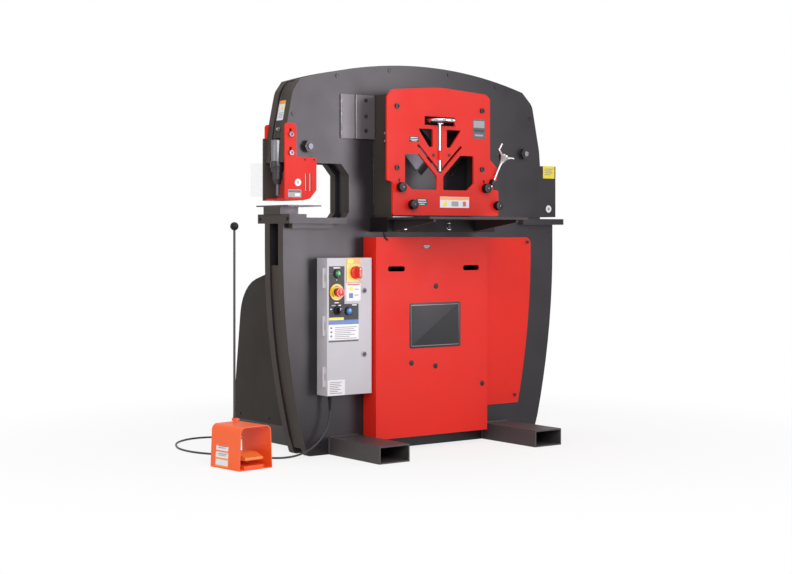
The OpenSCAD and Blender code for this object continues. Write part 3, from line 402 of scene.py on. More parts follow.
def rounded_box(width: float, height: float, radius: float, steps: int = 5) -> list[Flat]:
    """Draw a rectangle with round corners about its middle.

    Args:
        width: its size along the drawing's first direction.
        height: its size along the second.
        radius: the corner radius.
        steps: points less one on each corner.

    Returns:
        Its outline, counter-clockwise.
    """
    a, b = width / 2 - radius, height / 2 - radius
    corners = ((a, b, 0), (-a, b, 90), (-a, -b, 180), (a, -b, 270))
    return [(x + radius * math.cos(math.radians(start + 90 * i / steps)),
             y + radius * math.sin(math.radians(start + 90 * i / steps)))
            for x, y, start in corners for i in range(steps + 1)]


def circle(radius: float, count: int = 40) -> list[Flat]:
    """Draw a circle, or a regular polygon where count is small."""
    return [(radius * math.cos(math.radians(360 * i / count)),
             radius * math.sin(math.radians(360 * i / count))) for i in range(count)]


class Bench:
    """Collects shapes in one mesh and hands it over as one named piece."""

    def __init__(self, name: str, body: str = "machine") -> None:
        """Start an empty piece.

        Args:
            name: the piece's name.
            body: the body it moves with.
        """
        self.name = name
        self.body = body
        self.mesh = bmesh.new()
        self.finishes: list[Finish] = []

    def _index(self, finish: Finish) -> int:
        """Give the finish's material number in this piece."""
        if finish not in self.finishes:
            self.finishes.append(finish)
        return self.finishes.index(finish)

    def prism(self, outline: Sequence[Flat], place: Place, depth: float, finish: Finish,
              bevel: float = 0.0, start: float = 0.0) -> None:
        """Raise an outline into a slab.

        Args:
            outline: its points, counter-clockwise.
            place: where it is drawn.
            depth: how far it rises.
            finish: its finish.
            bevel: rounding of its top edges, in millimetres.
            start: height of its base above the place.
        """
        number = self._index(finish)
        area = sum(a[0] * b[1] - b[0] * a[1] for a, b in zip(outline, list(outline[1:]) + [outline[0]]))
        points = list(outline) if area > 0 else list(reversed(outline))
        rings = [(start, 0.0)]
        if bevel > 0:
            rings += [(start + depth - bevel, 0.0), (start + depth - bevel * 0.3, bevel * 0.3),
                      (start + depth, bevel)]
        else:
            rings.append((start + depth, 0.0))
        loops = [[self.mesh.verts.new(place.point(*p, out)) for p in inset(points, shrink)]
                 for out, shrink in rings]
        faces = [self.mesh.faces.new(list(reversed(loops[0]))), self.mesh.faces.new(loops[-1])]
        for low, high in zip(loops, loops[1:]):
            for i in range(len(points)):
                j = (i + 1) % len(points)
                faces.append(self.mesh.faces.new((low[i], low[j], high[j], high[i])))
        for face in faces:
            face.material_index = number

    def lathe(self, profile: Sequence[Flat], place: Place, finish: Finish, segments: int = 40) -> None:
        """Turn a profile about the place's outward axis.

        Args:
            profile: radius and height pairs from bottom to top.
            place: its origin is the axis's foot.
            finish: its finish.
            segments: steps round.
        """
        number = self._index(finish)
        rings = []
        for radius, height in profile:
            if radius < 1e-6:
                rings.append([self.mesh.verts.new(place.point(0, 0, height))])
            else:
                rings.append([self.mesh.verts.new(place.point(*p, height)) for p in circle(radius, segments)])
        faces = []
        for low, high in zip(rings, rings[1:]):
            for i in range(segments):
                j = (i + 1) % segments
                corners = [low[i % len(low)], low[j % len(low)], high[j % len(high)], high[i % len(high)]]
                corners = list(dict.fromkeys(corners))
                if len(corners) > 2:
                    faces.append(self.mesh.faces.new(corners))
        for ring, flip in ((rings[0], True), (rings[-1], False)):
            if len(ring) > 1:
                faces.append(self.mesh.faces.new(list(reversed(ring)) if flip else ring))
        for face in faces:
            face.material_index = number
            face.smooth = True

    def tube(self, path: Sequence[Vector], radius: float | Sequence[float], finish: Finish,
             sides: int = 12) -> None:
        """Sweep a round section along a path.

        Args:
            path: its points, in metres.
            radius: one radius, or one for each point, in millimetres.
            finish: its finish.
            sides: flats round the section.
        """
        number = self._index(finish)
        radii = list(radius) if isinstance(radius, (list, tuple)) else [radius] * len(path)
        run = [(path[min(i + 1, len(path) - 1)] - path[max(i - 1, 0)]).normalized() for i in range(len(path))]
        side = run[0].orthogonal().normalized()
        rings = []
        for point, along, r in zip(path, run, radii):
            side = (side - along * side.dot(along)).normalized()
            other = along.cross(side)
            rings.append([self.mesh.verts.new(point + (side * a + other * b) * MM)
                          for a, b in circle(r, sides)])
        faces = [self.mesh.faces.new(list(reversed(rings[0]))), self.mesh.faces.new(rings[-1])]
        for low, high in zip(rings, rings[1:]):
            for i in range(sides):
                j = (i + 1) % sides
                face = self.mesh.faces.new((low[i], low[j], high[j], high[i]))
                face.smooth = True
                faces.append(face)
        for face in faces:
            face.material_index = number

    def hand_over(self, smooth: float = 35.0) -> bpy.types.Object:
        """Finish the piece, dress it and fix it to its body.

        Args:
            smooth: edges sharper than this many degrees stay crisp.

        Returns:
            The new object.
        """
        data = bpy.data.meshes.new(self.name)
        self.mesh.normal_update()
        for edge in self.mesh.edges:
            if len(edge.link_faces) == 2 and edge.calc_face_angle(0.0) > math.radians(smooth):
                edge.smooth = False
        for face in self.mesh.faces:
            face.smooth = True
        self.mesh.to_mesh(data)
        self.mesh.free()
        piece = bpy.data.objects.new(self.name, data)
        bpy.context.scene.collection.objects.link(piece)
        for finish in self.finishes:
            data.materials.append(PAINT.material(finish))
        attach(piece, self.body)
        LOG.info("%s: %d faces on %s", self.name, len(data.polygons), self.body)
        return piece


def inset(points: Sequence[Flat], amount: float) -> list[Flat]:
    """Draw an outline in by an amount, each corner along its bisector.

    Args:
        points: a counter-clockwise outline.
        amount: how far in.

    Returns:
        The smaller outline.
    """
    if amount <= 0:
        return list(points)
    out = []
    for i, here in enumerate(points):
        a = Vector(here) - Vector(points[i - 1])
        b = Vector(points[(i + 1) % len(points)]) - Vector(here)
        na, nb = Vector((-a.y, a.x)).normalized(), Vector((-b.y, b.x)).normalized()
        mid = na + nb
        out.append(tuple(Vector(here) + mid * (amount / max(0.3, 1 + na.dot(nb)))))
    return out


Block = tuple[float, float, float, float, Finish]


@dataclass
class Label:
    """A printed film: a base field with plain blocks of colour on it.

    Attributes:
        width: its width.
        height: its height.
        ground: the base field's finish.
        blocks: centre u, centre v, width, height and finish of each printed block, from its middle.
        holes: centre u, centre v and radius of each punched hole, from the top, slit to the left edge.
        corner: its corner radius.
        film: its thickness.
        ink: how far the blocks stand up, film included.
    """

    width: float
    height: float
    ground: Finish
    blocks: list[Block] = field(default_factory=list)
    holes: list[tuple[float, float, float]] = field(default_factory=list)
    corner: float = 2.0
    film: float = 0.5
    ink: float = 0.7

    def stick(self, bench: Bench, place: Place) -> None:
        """Lay the film on a surface.

        Args:
            bench: the piece that takes it.
            place: the middle of its place.
        """
        outline = rounded_box(self.width, self.height, self.corner)
        half = len(outline) // 2
        bench.prism(outline[:half] + self._slits() + outline[half:], place, self.film, self.ground)
        for u, v, wide, high, finish in self.blocks:
            shape = [(u + a, v + b) for a, b in rounded_box(wide, high, min(1.2, wide / 3, high / 3), 2)]
            bench.prism(shape, place, self.ink, finish)

    def _slits(self) -> list[Flat]:
        """Give the outline's way in from the left edge, round each hole and back out."""
        points = []
        for u, v, radius in self.holes:
            turns = [math.radians(179.4 - 358.8 * i / 36) for i in range(37)]
            ring = [(u + radius * math.cos(turn), v + radius * math.sin(turn)) for turn in turns]
            points += [(-self.width / 2, ring[0][1])] + ring + [(-self.width / 2, ring[-1][1])]
        return points


def print_lines(x: float, top: float, width: float, count: int, pitch: float,
                finish: Finish) -> list[Block]:
    """Draw even bars, as a plain stand-in for small print.

    Args:
        x: middle of the bars.
        top: height of the first.
        width: length of the longest.
        count: how many.
        pitch: distance between them.
        finish: their finish.

    Returns:
        Blocks for a label.
    """
    shares = (1.0, 0.86, 0.94, 0.72, 0.9, 0.66)
    lengths = [width * shares[i % len(shares)] for i in range(count)]
    return [(x - (width - length) / 2, top - pitch * i, length, pitch * 0.42, finish)
            for i, length in enumerate(lengths)]


class Frame:
    """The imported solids, and how they are painted."""

    PAINTS = {
        FRAME_PAINT: ("front_plate", "rear_plate", "tie_bolt", "frame_pins", "face_screws", "end_guard",
                      "end_table", "punch_bolster", "beam"),
        UMBER_COAT_AND_SIDE_SHADE: ("crown_strip", "side_strips", "guard_frame"),
        TUBE_PAINT: ("fork_tube_left", "fork_tube_right", "rear_deck", "carry_rod"),
        COVER_PAINT: ("rear_cover",),
        OXIDE_TANK: ("oil_tank",),
        MOTOR_CAST: ("pump_motor",),
        PAD_PAINT: ("pad_plate",),
        TABLE_PAINT: ("shear_table",),
        BOLSTER_BLACK_AND_SHADE: ("shear_bolster",),
        RED_PAINT: ("shear_guard", "front_cover", "side_panel", "stripper", "spindle_nut"),
        ORANGE_PAINT: ("foot_guard",),
        PEDAL_PAINT: ("foot_pedal",),
        BOX_PAINT: ("control_box", "box_door", "latch_upper", "latch_lower"),
        CLEAR_SHEET: ("clear_guard",),
        TOOL_STEEL: ("fixed_blades", "moving_blades", "die"),
        DARK_STEEL: ("die_holder", "punch_table", "punch_ram", "punch_tool", "hold_down"),
        BLACK_OXIDE: ("spindle_bearing", "clamp_bracket", "cylinder_barrel"),
        CHROME: ("piston_rod", "handwheel", "star_handle"),
        ZINC: ("valve_block", "clamp_foot"),
        BLACK_NYLON: ("oil_pipes", "knob_left", "knob_right", "mode_selector"),
        GREEN_LENS: ("start_button",),
        BLUE_LENS: ("reset_button",),
        RED_LENS: ("stop_button", "isolator_knob"),
    }
    # Plates whose cut edges, and blocks whose left faces, take the umber coat as painted shade: darker and
    # browner where they face away from the key light.
    SHADED_CUT_EDGES = ("front_plate", "rear_plate")
    SHADED_LEFT_FACES = ("punch_bolster", "die_holder", "end_guard", "end_table")
    # Solids with a second finish, and whether a face takes it, told from its middle in millimetres.
    SPOTS = (
        ("tie_bolt", TOOL_STEEL, lambda p: abs(p.y) > 97.5),  # ends past the nuts
        ("frame_pins", TOOL_STEEL, lambda p: abs(p.y) > 97.5),
        ("face_screws", TOOL_STEEL, lambda p: abs(p.y) > 85.9 and p.x < -720),  # the stripper's bolts
        ("face_screws", BLACK_OXIDE, lambda p: p.y < -215.1),  # heads on the guard's face
        ("punch_tool", TOOL_STEEL, lambda p: p.z < 1193),  # the punch below its nut
        ("carry_rod", BLACK_NYLON, lambda p: p.z > 985),  # the ball
        ("carry_rod", ORANGE_PAINT, lambda p: 179 < p.z < 193),  # the clamp block
        ("hold_down", BLACK_NYLON, lambda p: p.y < -205),  # the knobs in front of the guard
        ("control_box", BLACK_NYLON, lambda p: p.z < 267.9),  # the gland
        ("foot_guard", BLACK_NYLON, lambda p: p.y > -57 and p.z < 34 and p.x > -1000),
        # The stop's ring and the isolator's plate, then the bezels of start, selector and reset.
        ("box_door", YELLOW_PLATE, lambda p: -158 < p.y < -153.2 and (
            math.hypot(p.x + 561, p.z - 721) < 36.5 or (p.x > -510 and p.z > 762))),
        ("box_door", ZINC, lambda p: p.y < -153.2 and p.x < -535 and abs(p.z - 721) > 40),
        ("box_door", ZINC, lambda p: p.y < -153.2 and math.hypot(p.x + 497, p.z - 636) < 20),
    )

    def __init__(self, nodes: dict[str, bpy.types.Object]) -> None:
        """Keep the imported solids.

        Args:
            nodes: name to Blender object.
        """
        self.nodes = nodes

    def paint(self) -> None:
        """Give every solid its finish, paint shade on cut edges and left faces, and a second finish where the
        real piece has it.
        """
        for finish, names in self.PAINTS.items():
            for name in names:
                data = self.nodes[name].data
                data.materials.clear()
                data.materials.append(PAINT.material(finish))
        # Painted shade: cut edges and left-facing faces get the darker, browner umber coat.
        for name in self.SHADED_CUT_EDGES:
            self._touch(name, UMBER_COAT_AND_SIDE_SHADE, lambda face: abs(face.normal.y) < 0.5)
        for name in self.SHADED_LEFT_FACES:
            self._touch(name, UMBER_COAT_AND_SIDE_SHADE, lambda face: face.normal.x < -0.5)
        for name, finish, inside in self.SPOTS:
            self._touch(name, finish, lambda face: inside(face.center / MM))

    def _touch(self, name: str, finish: Finish, taken: Callable[[bpy.types.MeshPolygon], bool]) -> None:
        """Give part of a solid another finish.

        Args:
            name: the solid.
            finish: its other finish.
            taken: tells whether a face takes the finish.
        """
        data = self.nodes[name].data
        data.materials.append(PAINT.material(finish))
        number = len(data.materials) - 1
        for face in data.polygons:
            if taken(face):
                face.material_index = number


@dataclass
class WeldBead:
    """A run of weld with its ripples.

    Attributes:
        start: where it begins.
        end: where it ends.
        radius: half its width.
        finish: its paint.
    """

    start: Point
    end: Point
    radius: float = 4.0
    finish: Finish = FRAME_PAINT

    def build(self, bench: Bench) -> None:
        """Lay the bead, swaying and rippled as a hand lays it.

        Args:
            bench: the piece that takes it.
        """
        a, b = Vector(self.start), Vector(self.end)
        # A step of about 2.2 mm, the pitch of a hand's ripples.
        count = max(8, int((b - a).length / 2.2))
        path, radii = [], []
        for i in range(count + 1):
            t = i / count
            sway = Vector((0.5 * math.sin(i * 1.9), 0.4 * math.cos(i * 1.3), 0.0))
            path.append((a + (b - a) * t + sway) * MM)
            radii.append(self.radius * (1 + 0.16 * math.sin(i * 2.4) + 0.08 * math.sin(i * 0.7)))
        bench.tube(path, radii, self.finish, 10)


@dataclass
class FrameFittings:
    """Welds, nipple and films on the frame plates.

    Attributes:
        face: how far the plates' outer faces lie from the middle.
        weld_x: left face of the shear guard's left plate.
        guard_right: right edge of the guard's frame.
        pad: left edge and step of the pad plate.
        tubes: left faces of the fork tubes.
        tube_width: their width.
        tube_top: their height.
        nipple: the nose's grease nipple, back, up and across.
        film: middle of the nose's film.
        seam: across and up of the black tube that paints the shade in the open seam along the nose strip.
        seam_back: how far back the seam lies.
    """

    face: float = 75.0
    weld_x: float = -302.0
    guard_right: float = 255.0
    pad: Flat = (-484.0, -409.0)
    tubes: Flat = (-548.0, 333.0)
    tube_width: float = 160.0
    tube_top: float = 74.0
    nipple: Point = (-5.0, 1434.0, -761.4)
    film: Point = (-745.4, 1.0, 1518.0)
    seam: tuple[Flat, ...] = (
        (-767.8, 1398.0), (-755.0, 1470.0), (-745.2, 1518.0), (-736.4, 1560.0), (-722.8, 1600.0),
        (-712.2, 1620.0), (-700.0, 1641.3), (-660.0, 1653.0))
    seam_back: float = 33.0

    def build(self) -> None:
        """Make the fittings."""
        bench = Bench("frame_welds")
        # Across, out from the plate, foot, top, radius and finish of each upright bead.
        runs = [(self.weld_x - 2, 2, 1110, 1390, 4.0, FRAME_PAINT),
                (self.weld_x - 2, 2, 1440, 1600, 4.0, FRAME_PAINT),
                (self.pad[0], 3, 1404, 1597, 4.5, WELD_METAL_AND_GLINTS), (self.pad[1], 12, 1404, 1597, 2.5, WELD_METAL_AND_GLINTS),
                (self.guard_right, 2, 1110, 1590, 4.0, FRAME_PAINT)]
        for x, out, low, high, radius, finish in runs:
            WeldBead((x, -self.face - out, low), (x, -self.face - out, high), radius, finish).build(bench)
        for side in (-1, 1):
            y, over = side * (self.face + 2), self.tube_top + 3
            for x in [left + wide for left in self.tubes for wide in (0, self.tube_width)]:
                WeldBead((x, y, 4), (x, y, self.tube_top), finish=TUBE_PAINT).build(bench)
            for x in self.tubes:
                WeldBead((x + 4, y, over), (x + self.tube_width - 4, y, over), finish=TUBE_PAINT).build(bench)
        bench.hand_over()
        self._nose()

    def _nose(self) -> None:
        """Make the grease nipple, the film and a black tube that paints the shade in the open seam on the
        nose strip.
        """
        bench = Bench("nose_fittings")
        nipple = leftward(*self.nipple)
        bench.prism(circle(9, 6), nipple, 6, ZINC, 1.0)
        bench.lathe([(5, 6), (5, 10), (6.5, 12), (6.5, 14), (3.5, 16), (0, 17)], nipple, ZINC)
        slope = Place(self.film, (0, -1, 0), (0.2035, 0, 1))
        Label(60, 90, VINYL_WHITE, [(0, 37, 60, 16, VINYL_AMBER), (0, 8, 16, 16, VINYL_YELLOW)]
              + print_lines(0, -12, 34, 4, 7, VINYL_GREY)).stick(bench, slope)
        # Painted shade: a black tube sunk in the open seam stands for the dark inside it.
        seam = smooth_line([Vector((x, self.seam_back, z)) for x, z in self.seam], 4)
        bench.tube(metres(seam), 2.0, BLACK_VINYL_AND_SHADE, 8)
        bench.hand_over()


@dataclass
class StripperFittings:
    """Films and bolt detail on the stripper and its clear guard, and umber strips that paint shade on its
    rear cheek.

    Attributes:
        outer: the cheeks' outer faces.
        disc: middle of the round film.
        plate: middle of the oblong film.
        edge: middle of the umber strip that paints shade on the rear cheek's left edge.
        inner_shade_strip: middle of the thin umber sheet that paints shade on that cheek's inner face.
        screws: how far across the front cheek's two screws lie.
        screw_height: their height.
        guard_screws: heights of the clear guard's two screws.
    """

    outer: float = 85.5
    disc: Flat = (-718.0, 1200.0)
    plate: Flat = (-735.0, 1152.0)
    edge: Flat = (-788.4, 1259.0)
    inner_shade_strip: Flat = (-755.0, 1260.0)
    screws: Flat = (-681.0, -633.0)
    screw_height: float = 1301.0
    guard_screws: Flat = (1165.0, 1262.0)

    def build(self) -> None:
        """Make the fittings."""
        bench = Bench("stripper_films", "stripper")
        disc = front(*self.disc, -self.outer)
        bench.prism(circle(16), disc, 0.5, VINYL_WHITE)
        bench.prism(circle(5), disc, 0.7, VINYL_GREY)
        Label(68, 34, VINYL_GREY, [(0, 9, 62, 9, BLACK_VINYL_AND_SHADE), (14, -6, 26, 14, VINYL_WHITE)]).stick(
            bench, front(*self.plate, -self.outer))
        bench.hand_over()
        strip = Bench("stripper_shade_strips", "stripper")
        # Painted shade: an umber strip on the rear cheek's left edge and a thin umber sheet on its inner face
        # darken them where shade falls.
        strip.prism(rounded_box(8.6, 274, 1.5), front(*self.edge, self.outer), 8, UMBER_COAT_AND_SIDE_SHADE, 0.6)
        strip.prism(rounded_box(67, 272, 2), front(*self.inner_shade_strip, 77.0), 1.7, UMBER_COAT_AND_SIDE_SHADE)
        strip.hand_over()
        bench = Bench("stripper_screws", "stripper")
        for x in self.screws:
            bench.lathe([(4.5, 0), (4.5, 1.6), (3.4, 2.4), (0, 2.4)],
                        front(x, self.screw_height, -self.outer), BLACK_OXIDE, 20)
        bench.hand_over()
        bench = Bench("clear_guard_screws", "stripper")
        for z in self.guard_screws:
            place = Place((-762, 89.5, z), (-1, 0, 0), UP)
            bench.lathe([(7, 0), (7, 1.5), (5, 4), (0, 4.6)], place, ZINC, 24)
        bench.hand_over()


@dataclass
class RoundRam:
    """The punch ram, turned round where its plain core is square, with a collar over the punch.

    Attributes:
        x: the punch's centre line.
        foot: its lower end.
        top: its upper end.
        radius: half its diameter.
        slot: half the width of the slot for the beam's tongue.
        wall: how far the slot's closed end lies left of the centre line.
        collar: height of the collar.
        solid: height at which the slot begins.
        pin: height of the beam's pin above the floor.
        cheek: how far in front of and behind the middle the pin's heads sit.
    """

    x: float = -768.0
    foot: float = 1254.0
    top: float = 1386.0
    radius: float = 29.0
    slot: float = 13.0
    wall: float = 19.0
    collar: float = 40.0
    solid: float = 68.0
    pin: float = 1366.0
    cheek: float = 25.0

    def build(self) -> None:
        """Make the ram."""
        bench = Bench("ram_body", "ram")
        r, base = self.radius, upward(self.x, 0, self.foot)
        bench.lathe([(r - 1, 0), (r + 2, 2), (r + 2, 6), (r, 7), (r, 9), (r + 4.5, 10), (r + 5, 13),
                     (r + 5, self.collar - 3), (r + 4, self.collar), (r, self.collar)], base, DARK_STEEL, 56)
        bench.lathe([(r, self.collar), (r, self.solid)], base, RAM_STEEL, 56)
        fork = [p for p in circle(r, 96) if not (p[0] > -self.wall and abs(p[1]) < self.slot)]
        fork.sort(key=lambda p: math.atan2(p[1], p[0]) % (2 * math.pi))
        fork += [(-self.wall, -self.slot), (-self.wall, self.slot)]
        above = upward(self.x, 0, self.foot + self.solid)
        bench.prism(fork, above, self.top - self.foot - self.solid, RAM_STEEL, 1.2)
        for side in (-1, 1):
            head = Place((self.x, side * self.cheek, self.pin), (side, 0, 0), UP)
            bench.lathe([(8, -6), (8, 2.0), (6.5, 3.5), (0, 3.5)], head, BLACK_OXIDE, 32)
        piece = bench.hand_over()
        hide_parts("punch_ram")


@dataclass
class SpinnerHandle:
    """The round bar clamp's handle: a screw, a flared hub and three bent arms, one with an upright grip.

    Attributes:
        at: a point on the screw's axis.
        tilt: lean of the axis to the right, in degrees.
        turns: where the arms stand round the axis, in degrees; the second has the grip.
        hub: the screw's and hub's profile, as radius and height along the axis.
        arm: an arm's centre line, in the same way.
        grip: how the second arm goes on.
    """

    at: Point = (272.0, -227.0, 1214.0)
    tilt: float = 28.0
    turns: tuple[float, ...] = (75.0, 195.0, 315.0)
    hub: tuple[Flat, ...] = (
        (3, -27.5), (3, -21.5), (5, -21.5), (5, 96), (7, 100), (9, 108), (14, 119), (21, 131), (26, 139),
        (27, 143), (24, 146), (14, 142), (0, 141))
    arm: tuple[Flat, ...] = ((12, 132), (26, 141), (40, 146), (50, 148))
    grip: tuple[Flat, ...] = ((51, 156), (49, 172), (48, 184))

    def build(self) -> None:
        """Make the handle."""
        c, s = math.cos(math.radians(self.tilt)), math.sin(math.radians(self.tilt))
        axis = Place(self.at, (c, 0.0, -s), (0.0, 1.0, 0.0))
        bench = Bench("spinner_handle", "star_handle")
        bench.lathe(self.hub, axis, SATIN_CHROME, 48)
        for number, turn in enumerate(self.turns):
            a, b = math.cos(math.radians(turn)), math.sin(math.radians(turn))
            arm = self.arm + self.grip if number == 1 else self.arm
            run = smooth_line([axis.point(r * a, r * b, z) / MM for r, z in arm], 6)
            radii = [6.5 - 1.6 * i / (len(run) - 1) for i in range(len(run))]
            bench.tube(metres(run), radii, SATIN_CHROME, 16)
        piece = bench.hand_over()
        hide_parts("star_handle")


@dataclass
class GuardFittings:
    """Films, screws and studs of the shear guard.

    Attributes:
        face: the guard's front face.
        plate: left face of the guard's left plate.
        knobs: places of the two upper knobs.
        strip: middle of the long film along the foot.
        chart: middle of the dark film at the upper right.
        dark: across, up, face, width and height of the small dark films.
        marks: across, up, width and height of the round black marks, which paint the shade inside small
            openings of the guard.
        bearing: places of the spindle bearing's two screws.
        bearing_radius: half their heads' diameter.
        bracket: back and up of the bracket on the left plate.
        studs: heights of the bracket's studs.
        pads: how far across the hold-down's two pads lie.
        pad_height: their middle's height.
        line: what the air line goes through.
    """

    face: float = -215.0
    plate: float = -302.0
    knobs: tuple[Flat, ...] = ((-266.0, 1185.0), (228.0, 1188.0))
    strip: Flat = (53.0, 1121.0)
    chart: Flat = (198.0, 1463.0)
    dark: tuple[tuple[float, ...], ...] = ((-136, 1120, -215, 63, 32), (-181, 1402, -215, 56, 25),
                                           (-75, 918, -171, 46, 16))
    marks: tuple[tuple[float, ...], ...] = ((216, 1274, 16, 28), (-236, 1182, 7, 8))
    bearing: tuple[Flat, ...] = ((-70.0, 1334.0), (21.0, 1336.0))
    bearing_radius: float = 7.0
    bracket: Flat = (-176.0, 1408.0)
    studs: Flat = (1390.0, 1424.0)
    pads: Flat = (-225.0, -95.0)
    pad_height: float = 1059.6
    line: tuple[Point, ...] = ((-308, -170, 1004), (-318, -172, 985), (-314, -176, 962), (-300, -176, 948))

    def build(self) -> None:
        """Make the fittings."""
        bench = Bench("guard_films")
        Label(171, 50, VINYL_WHITE, [
            (0, 17, 167, 13, VINYL_AMBER), (-56, -7, 22, 22, VINYL_YELLOW), (2, -7, 40, 22, VINYL_GREY),
            (58, -7, 18, 22, VINYL_RED)]).stick(bench, front(*self.strip, self.face))
        for x, z, y, w, h in self.dark:
            bars = [(0, h * up, w * wide, h * high, VINYL_WHITE)
                    for up, wide, high in ((0.28, 0.72, 0.12), (-0.03, 0.80, 0.10), (-0.30, 0.5, 0.10))]
            Label(w, h, DARK_FILM, bars).stick(bench, front(x, z, y))
        Label(74, 90, BLACK_VINYL_AND_SHADE, [(0, 22, 66, 32, VINYL_GREY), (0, -8, 66, 12, DARK_FILM),
                                    (0, -29, 50, 8, VINYL_GREY)]).stick(bench, front(*self.chart, self.face))
        # Painted shade: black marks stand for the dark inside small openings of the guard.
        for x, z, w, h in self.marks:
            bench.prism(rounded_box(w, h, w * 0.45), front(x, z, self.face), 0.4, BLACK_VINYL_AND_SHADE)
        bench.hand_over()
        discs = Bench("guard_knob_discs", "hold_down")
        for x, z in self.knobs:
            discs.lathe([(24, 0.5), (24, 2.6), (23, 3.4), (14, 3.4)], front(x, z, self.face), RED_PAINT, 48)
        discs.hand_over()
        self._bearing_screws()
        self._bracket()
        self._pads()
        self._air_line()

    def _bearing_screws(self) -> None:
        """Make the two small knurled cap screws that hold the spindle's lower bearing."""
        bench = Bench("bearing_screws")
        r = self.bearing_radius
        knurl = [(r * (1 - 0.05 * (i % 2)) * math.cos(2 * math.pi * i / 48),
                  r * (1 - 0.05 * (i % 2)) * math.sin(2 * math.pi * i / 48)) for i in range(48)]
        for at in self.bearing:
            place = front(*at, self.face)
            bench.prism(knurl, place, 4.0, BLACK_OXIDE, 0.8)
            bench.prism(circle(r * 0.52, 6), place, 4.05, DARK_FILM)
        bench.hand_over()

    def _bracket(self) -> None:
        """Make the bracket, its two studs, a screw and the foot strip on the guard's left plate; the foot
        strip is painted shadow in the gap under the plate.
        """
        bench = Bench("guard_bracket")
        bench.prism(rounded_box(44, 66, 4), leftward(*self.bracket, self.plate), 8, UMBER_COAT_AND_SIDE_SHADE, 1.2)
        for z in self.studs:
            stud = leftward(self.bracket[0], z, self.plate - 8)
            bench.lathe([(4.5, 0), (4.5, 9), (3.6, 10), (0, 10)], stud, ZINC, 24)
            bench.prism(circle(8, 6), stud, 5, ZINC, 0.8)
        bench.prism(circle(8, 6), leftward(self.bracket[0], 1580, self.plate), 7, BLACK_OXIDE, 1.0)
        # Painted shadow: a dark umber strip fills the gap between the guard's left plate and the table.
        bench.prism(rounded_box(122, 9.4, 1), leftward(-141, 1055.2, self.plate + 11), 10, UMBER_COAT_AND_SIDE_SHADE, 0.6)
        bench.hand_over()

    def _pads(self) -> None:
        """Make the two pads that the hold-down presses with."""
        pads = Bench("hold_down_pads", "hold_down")
        for x in self.pads:
            pads.prism(rounded_box(128, 12.5, 2), front(x, self.pad_height, -195.2), 9, BLACK_OXIDE, 0.8)
        pads.hand_over()

    def _air_line(self) -> None:
        """Make the short air line under the table's left end."""
        bench = Bench("air_line")
        bench.tube(metres(smooth_line([Vector(p) for p in self.line], 8)), 4.0, BLACK_NYLON, 12)
        bench.hand_over()


def metres(line: Sequence[Vector]) -> list[Vector]:
    """Turn millimetre points into metres."""
    return [point * MM for point in line]


def smooth_line(points: Sequence[Vector], steps: int) -> list[Vector]:
    """Run a smooth line through points.

    Args:
        points: what it goes through.
        steps: pieces between two of them.

    Returns:
        The line's points.
    """
    line = []
    last = len(points) - 1
    for i in range(last):
        a, b, c, d = points[max(i - 1, 0)], points[i], points[i + 1], points[min(i + 2, last)]
        for k in range(steps):
            t = k / steps
            line.append(0.5 * (2 * b + (c - a) * t + (2 * a - 5 * b + 4 * c - d) * t * t
                               + (3 * b - a - 3 * c + d) * t ** 3))
    return line + [points[last].copy()]


@dataclass
class GripKnob:
    """A moulded knob with lobes, over its plain core.

    Attributes:
        name: the piece's name.
        body: what it turns with.
        x: across.
        z: up.
        back: the grip's rear face.
        reach: the grip's thickness.
        radius: radius in the lobes' valleys.
        lobes: how many.
    """

    name: str
    body: str
    x: float
    z: float
    back: float = -227.0
    reach: float = 22.0
    radius: float = 20.2
    lobes: int = 7

    def build(self) -> None:
        """Make the knob."""
        bench = Bench(self.name, self.body)
        outline = []
        for i in range(self.lobes * 12):
            angle = 2 * math.pi * i / (self.lobes * 12)
            r = self.radius + 1.9 * (0.5 + 0.5 * math.cos(angle * self.lobes)) ** 0.7
            outline.append((r * math.cos(angle), r * math.sin(angle)))
        bench.prism(outline, front(self.x, self.z, self.back), self.reach + 0.6, BLACK_NYLON, 2.5)
        cap = front(self.x, self.z, self.back - self.reach - 0.5)
        bench.lathe([(6.5, 0), (6.5, 1.2), (5.6, 2.0), (0, 2.4)], cap, BLACK_OXIDE, 32)
        bench.lathe([(2.6, 2), (2.6, 3.0), (0, 3.4)], cap, TOOL_STEEL, 24)
        bench.hand_over()


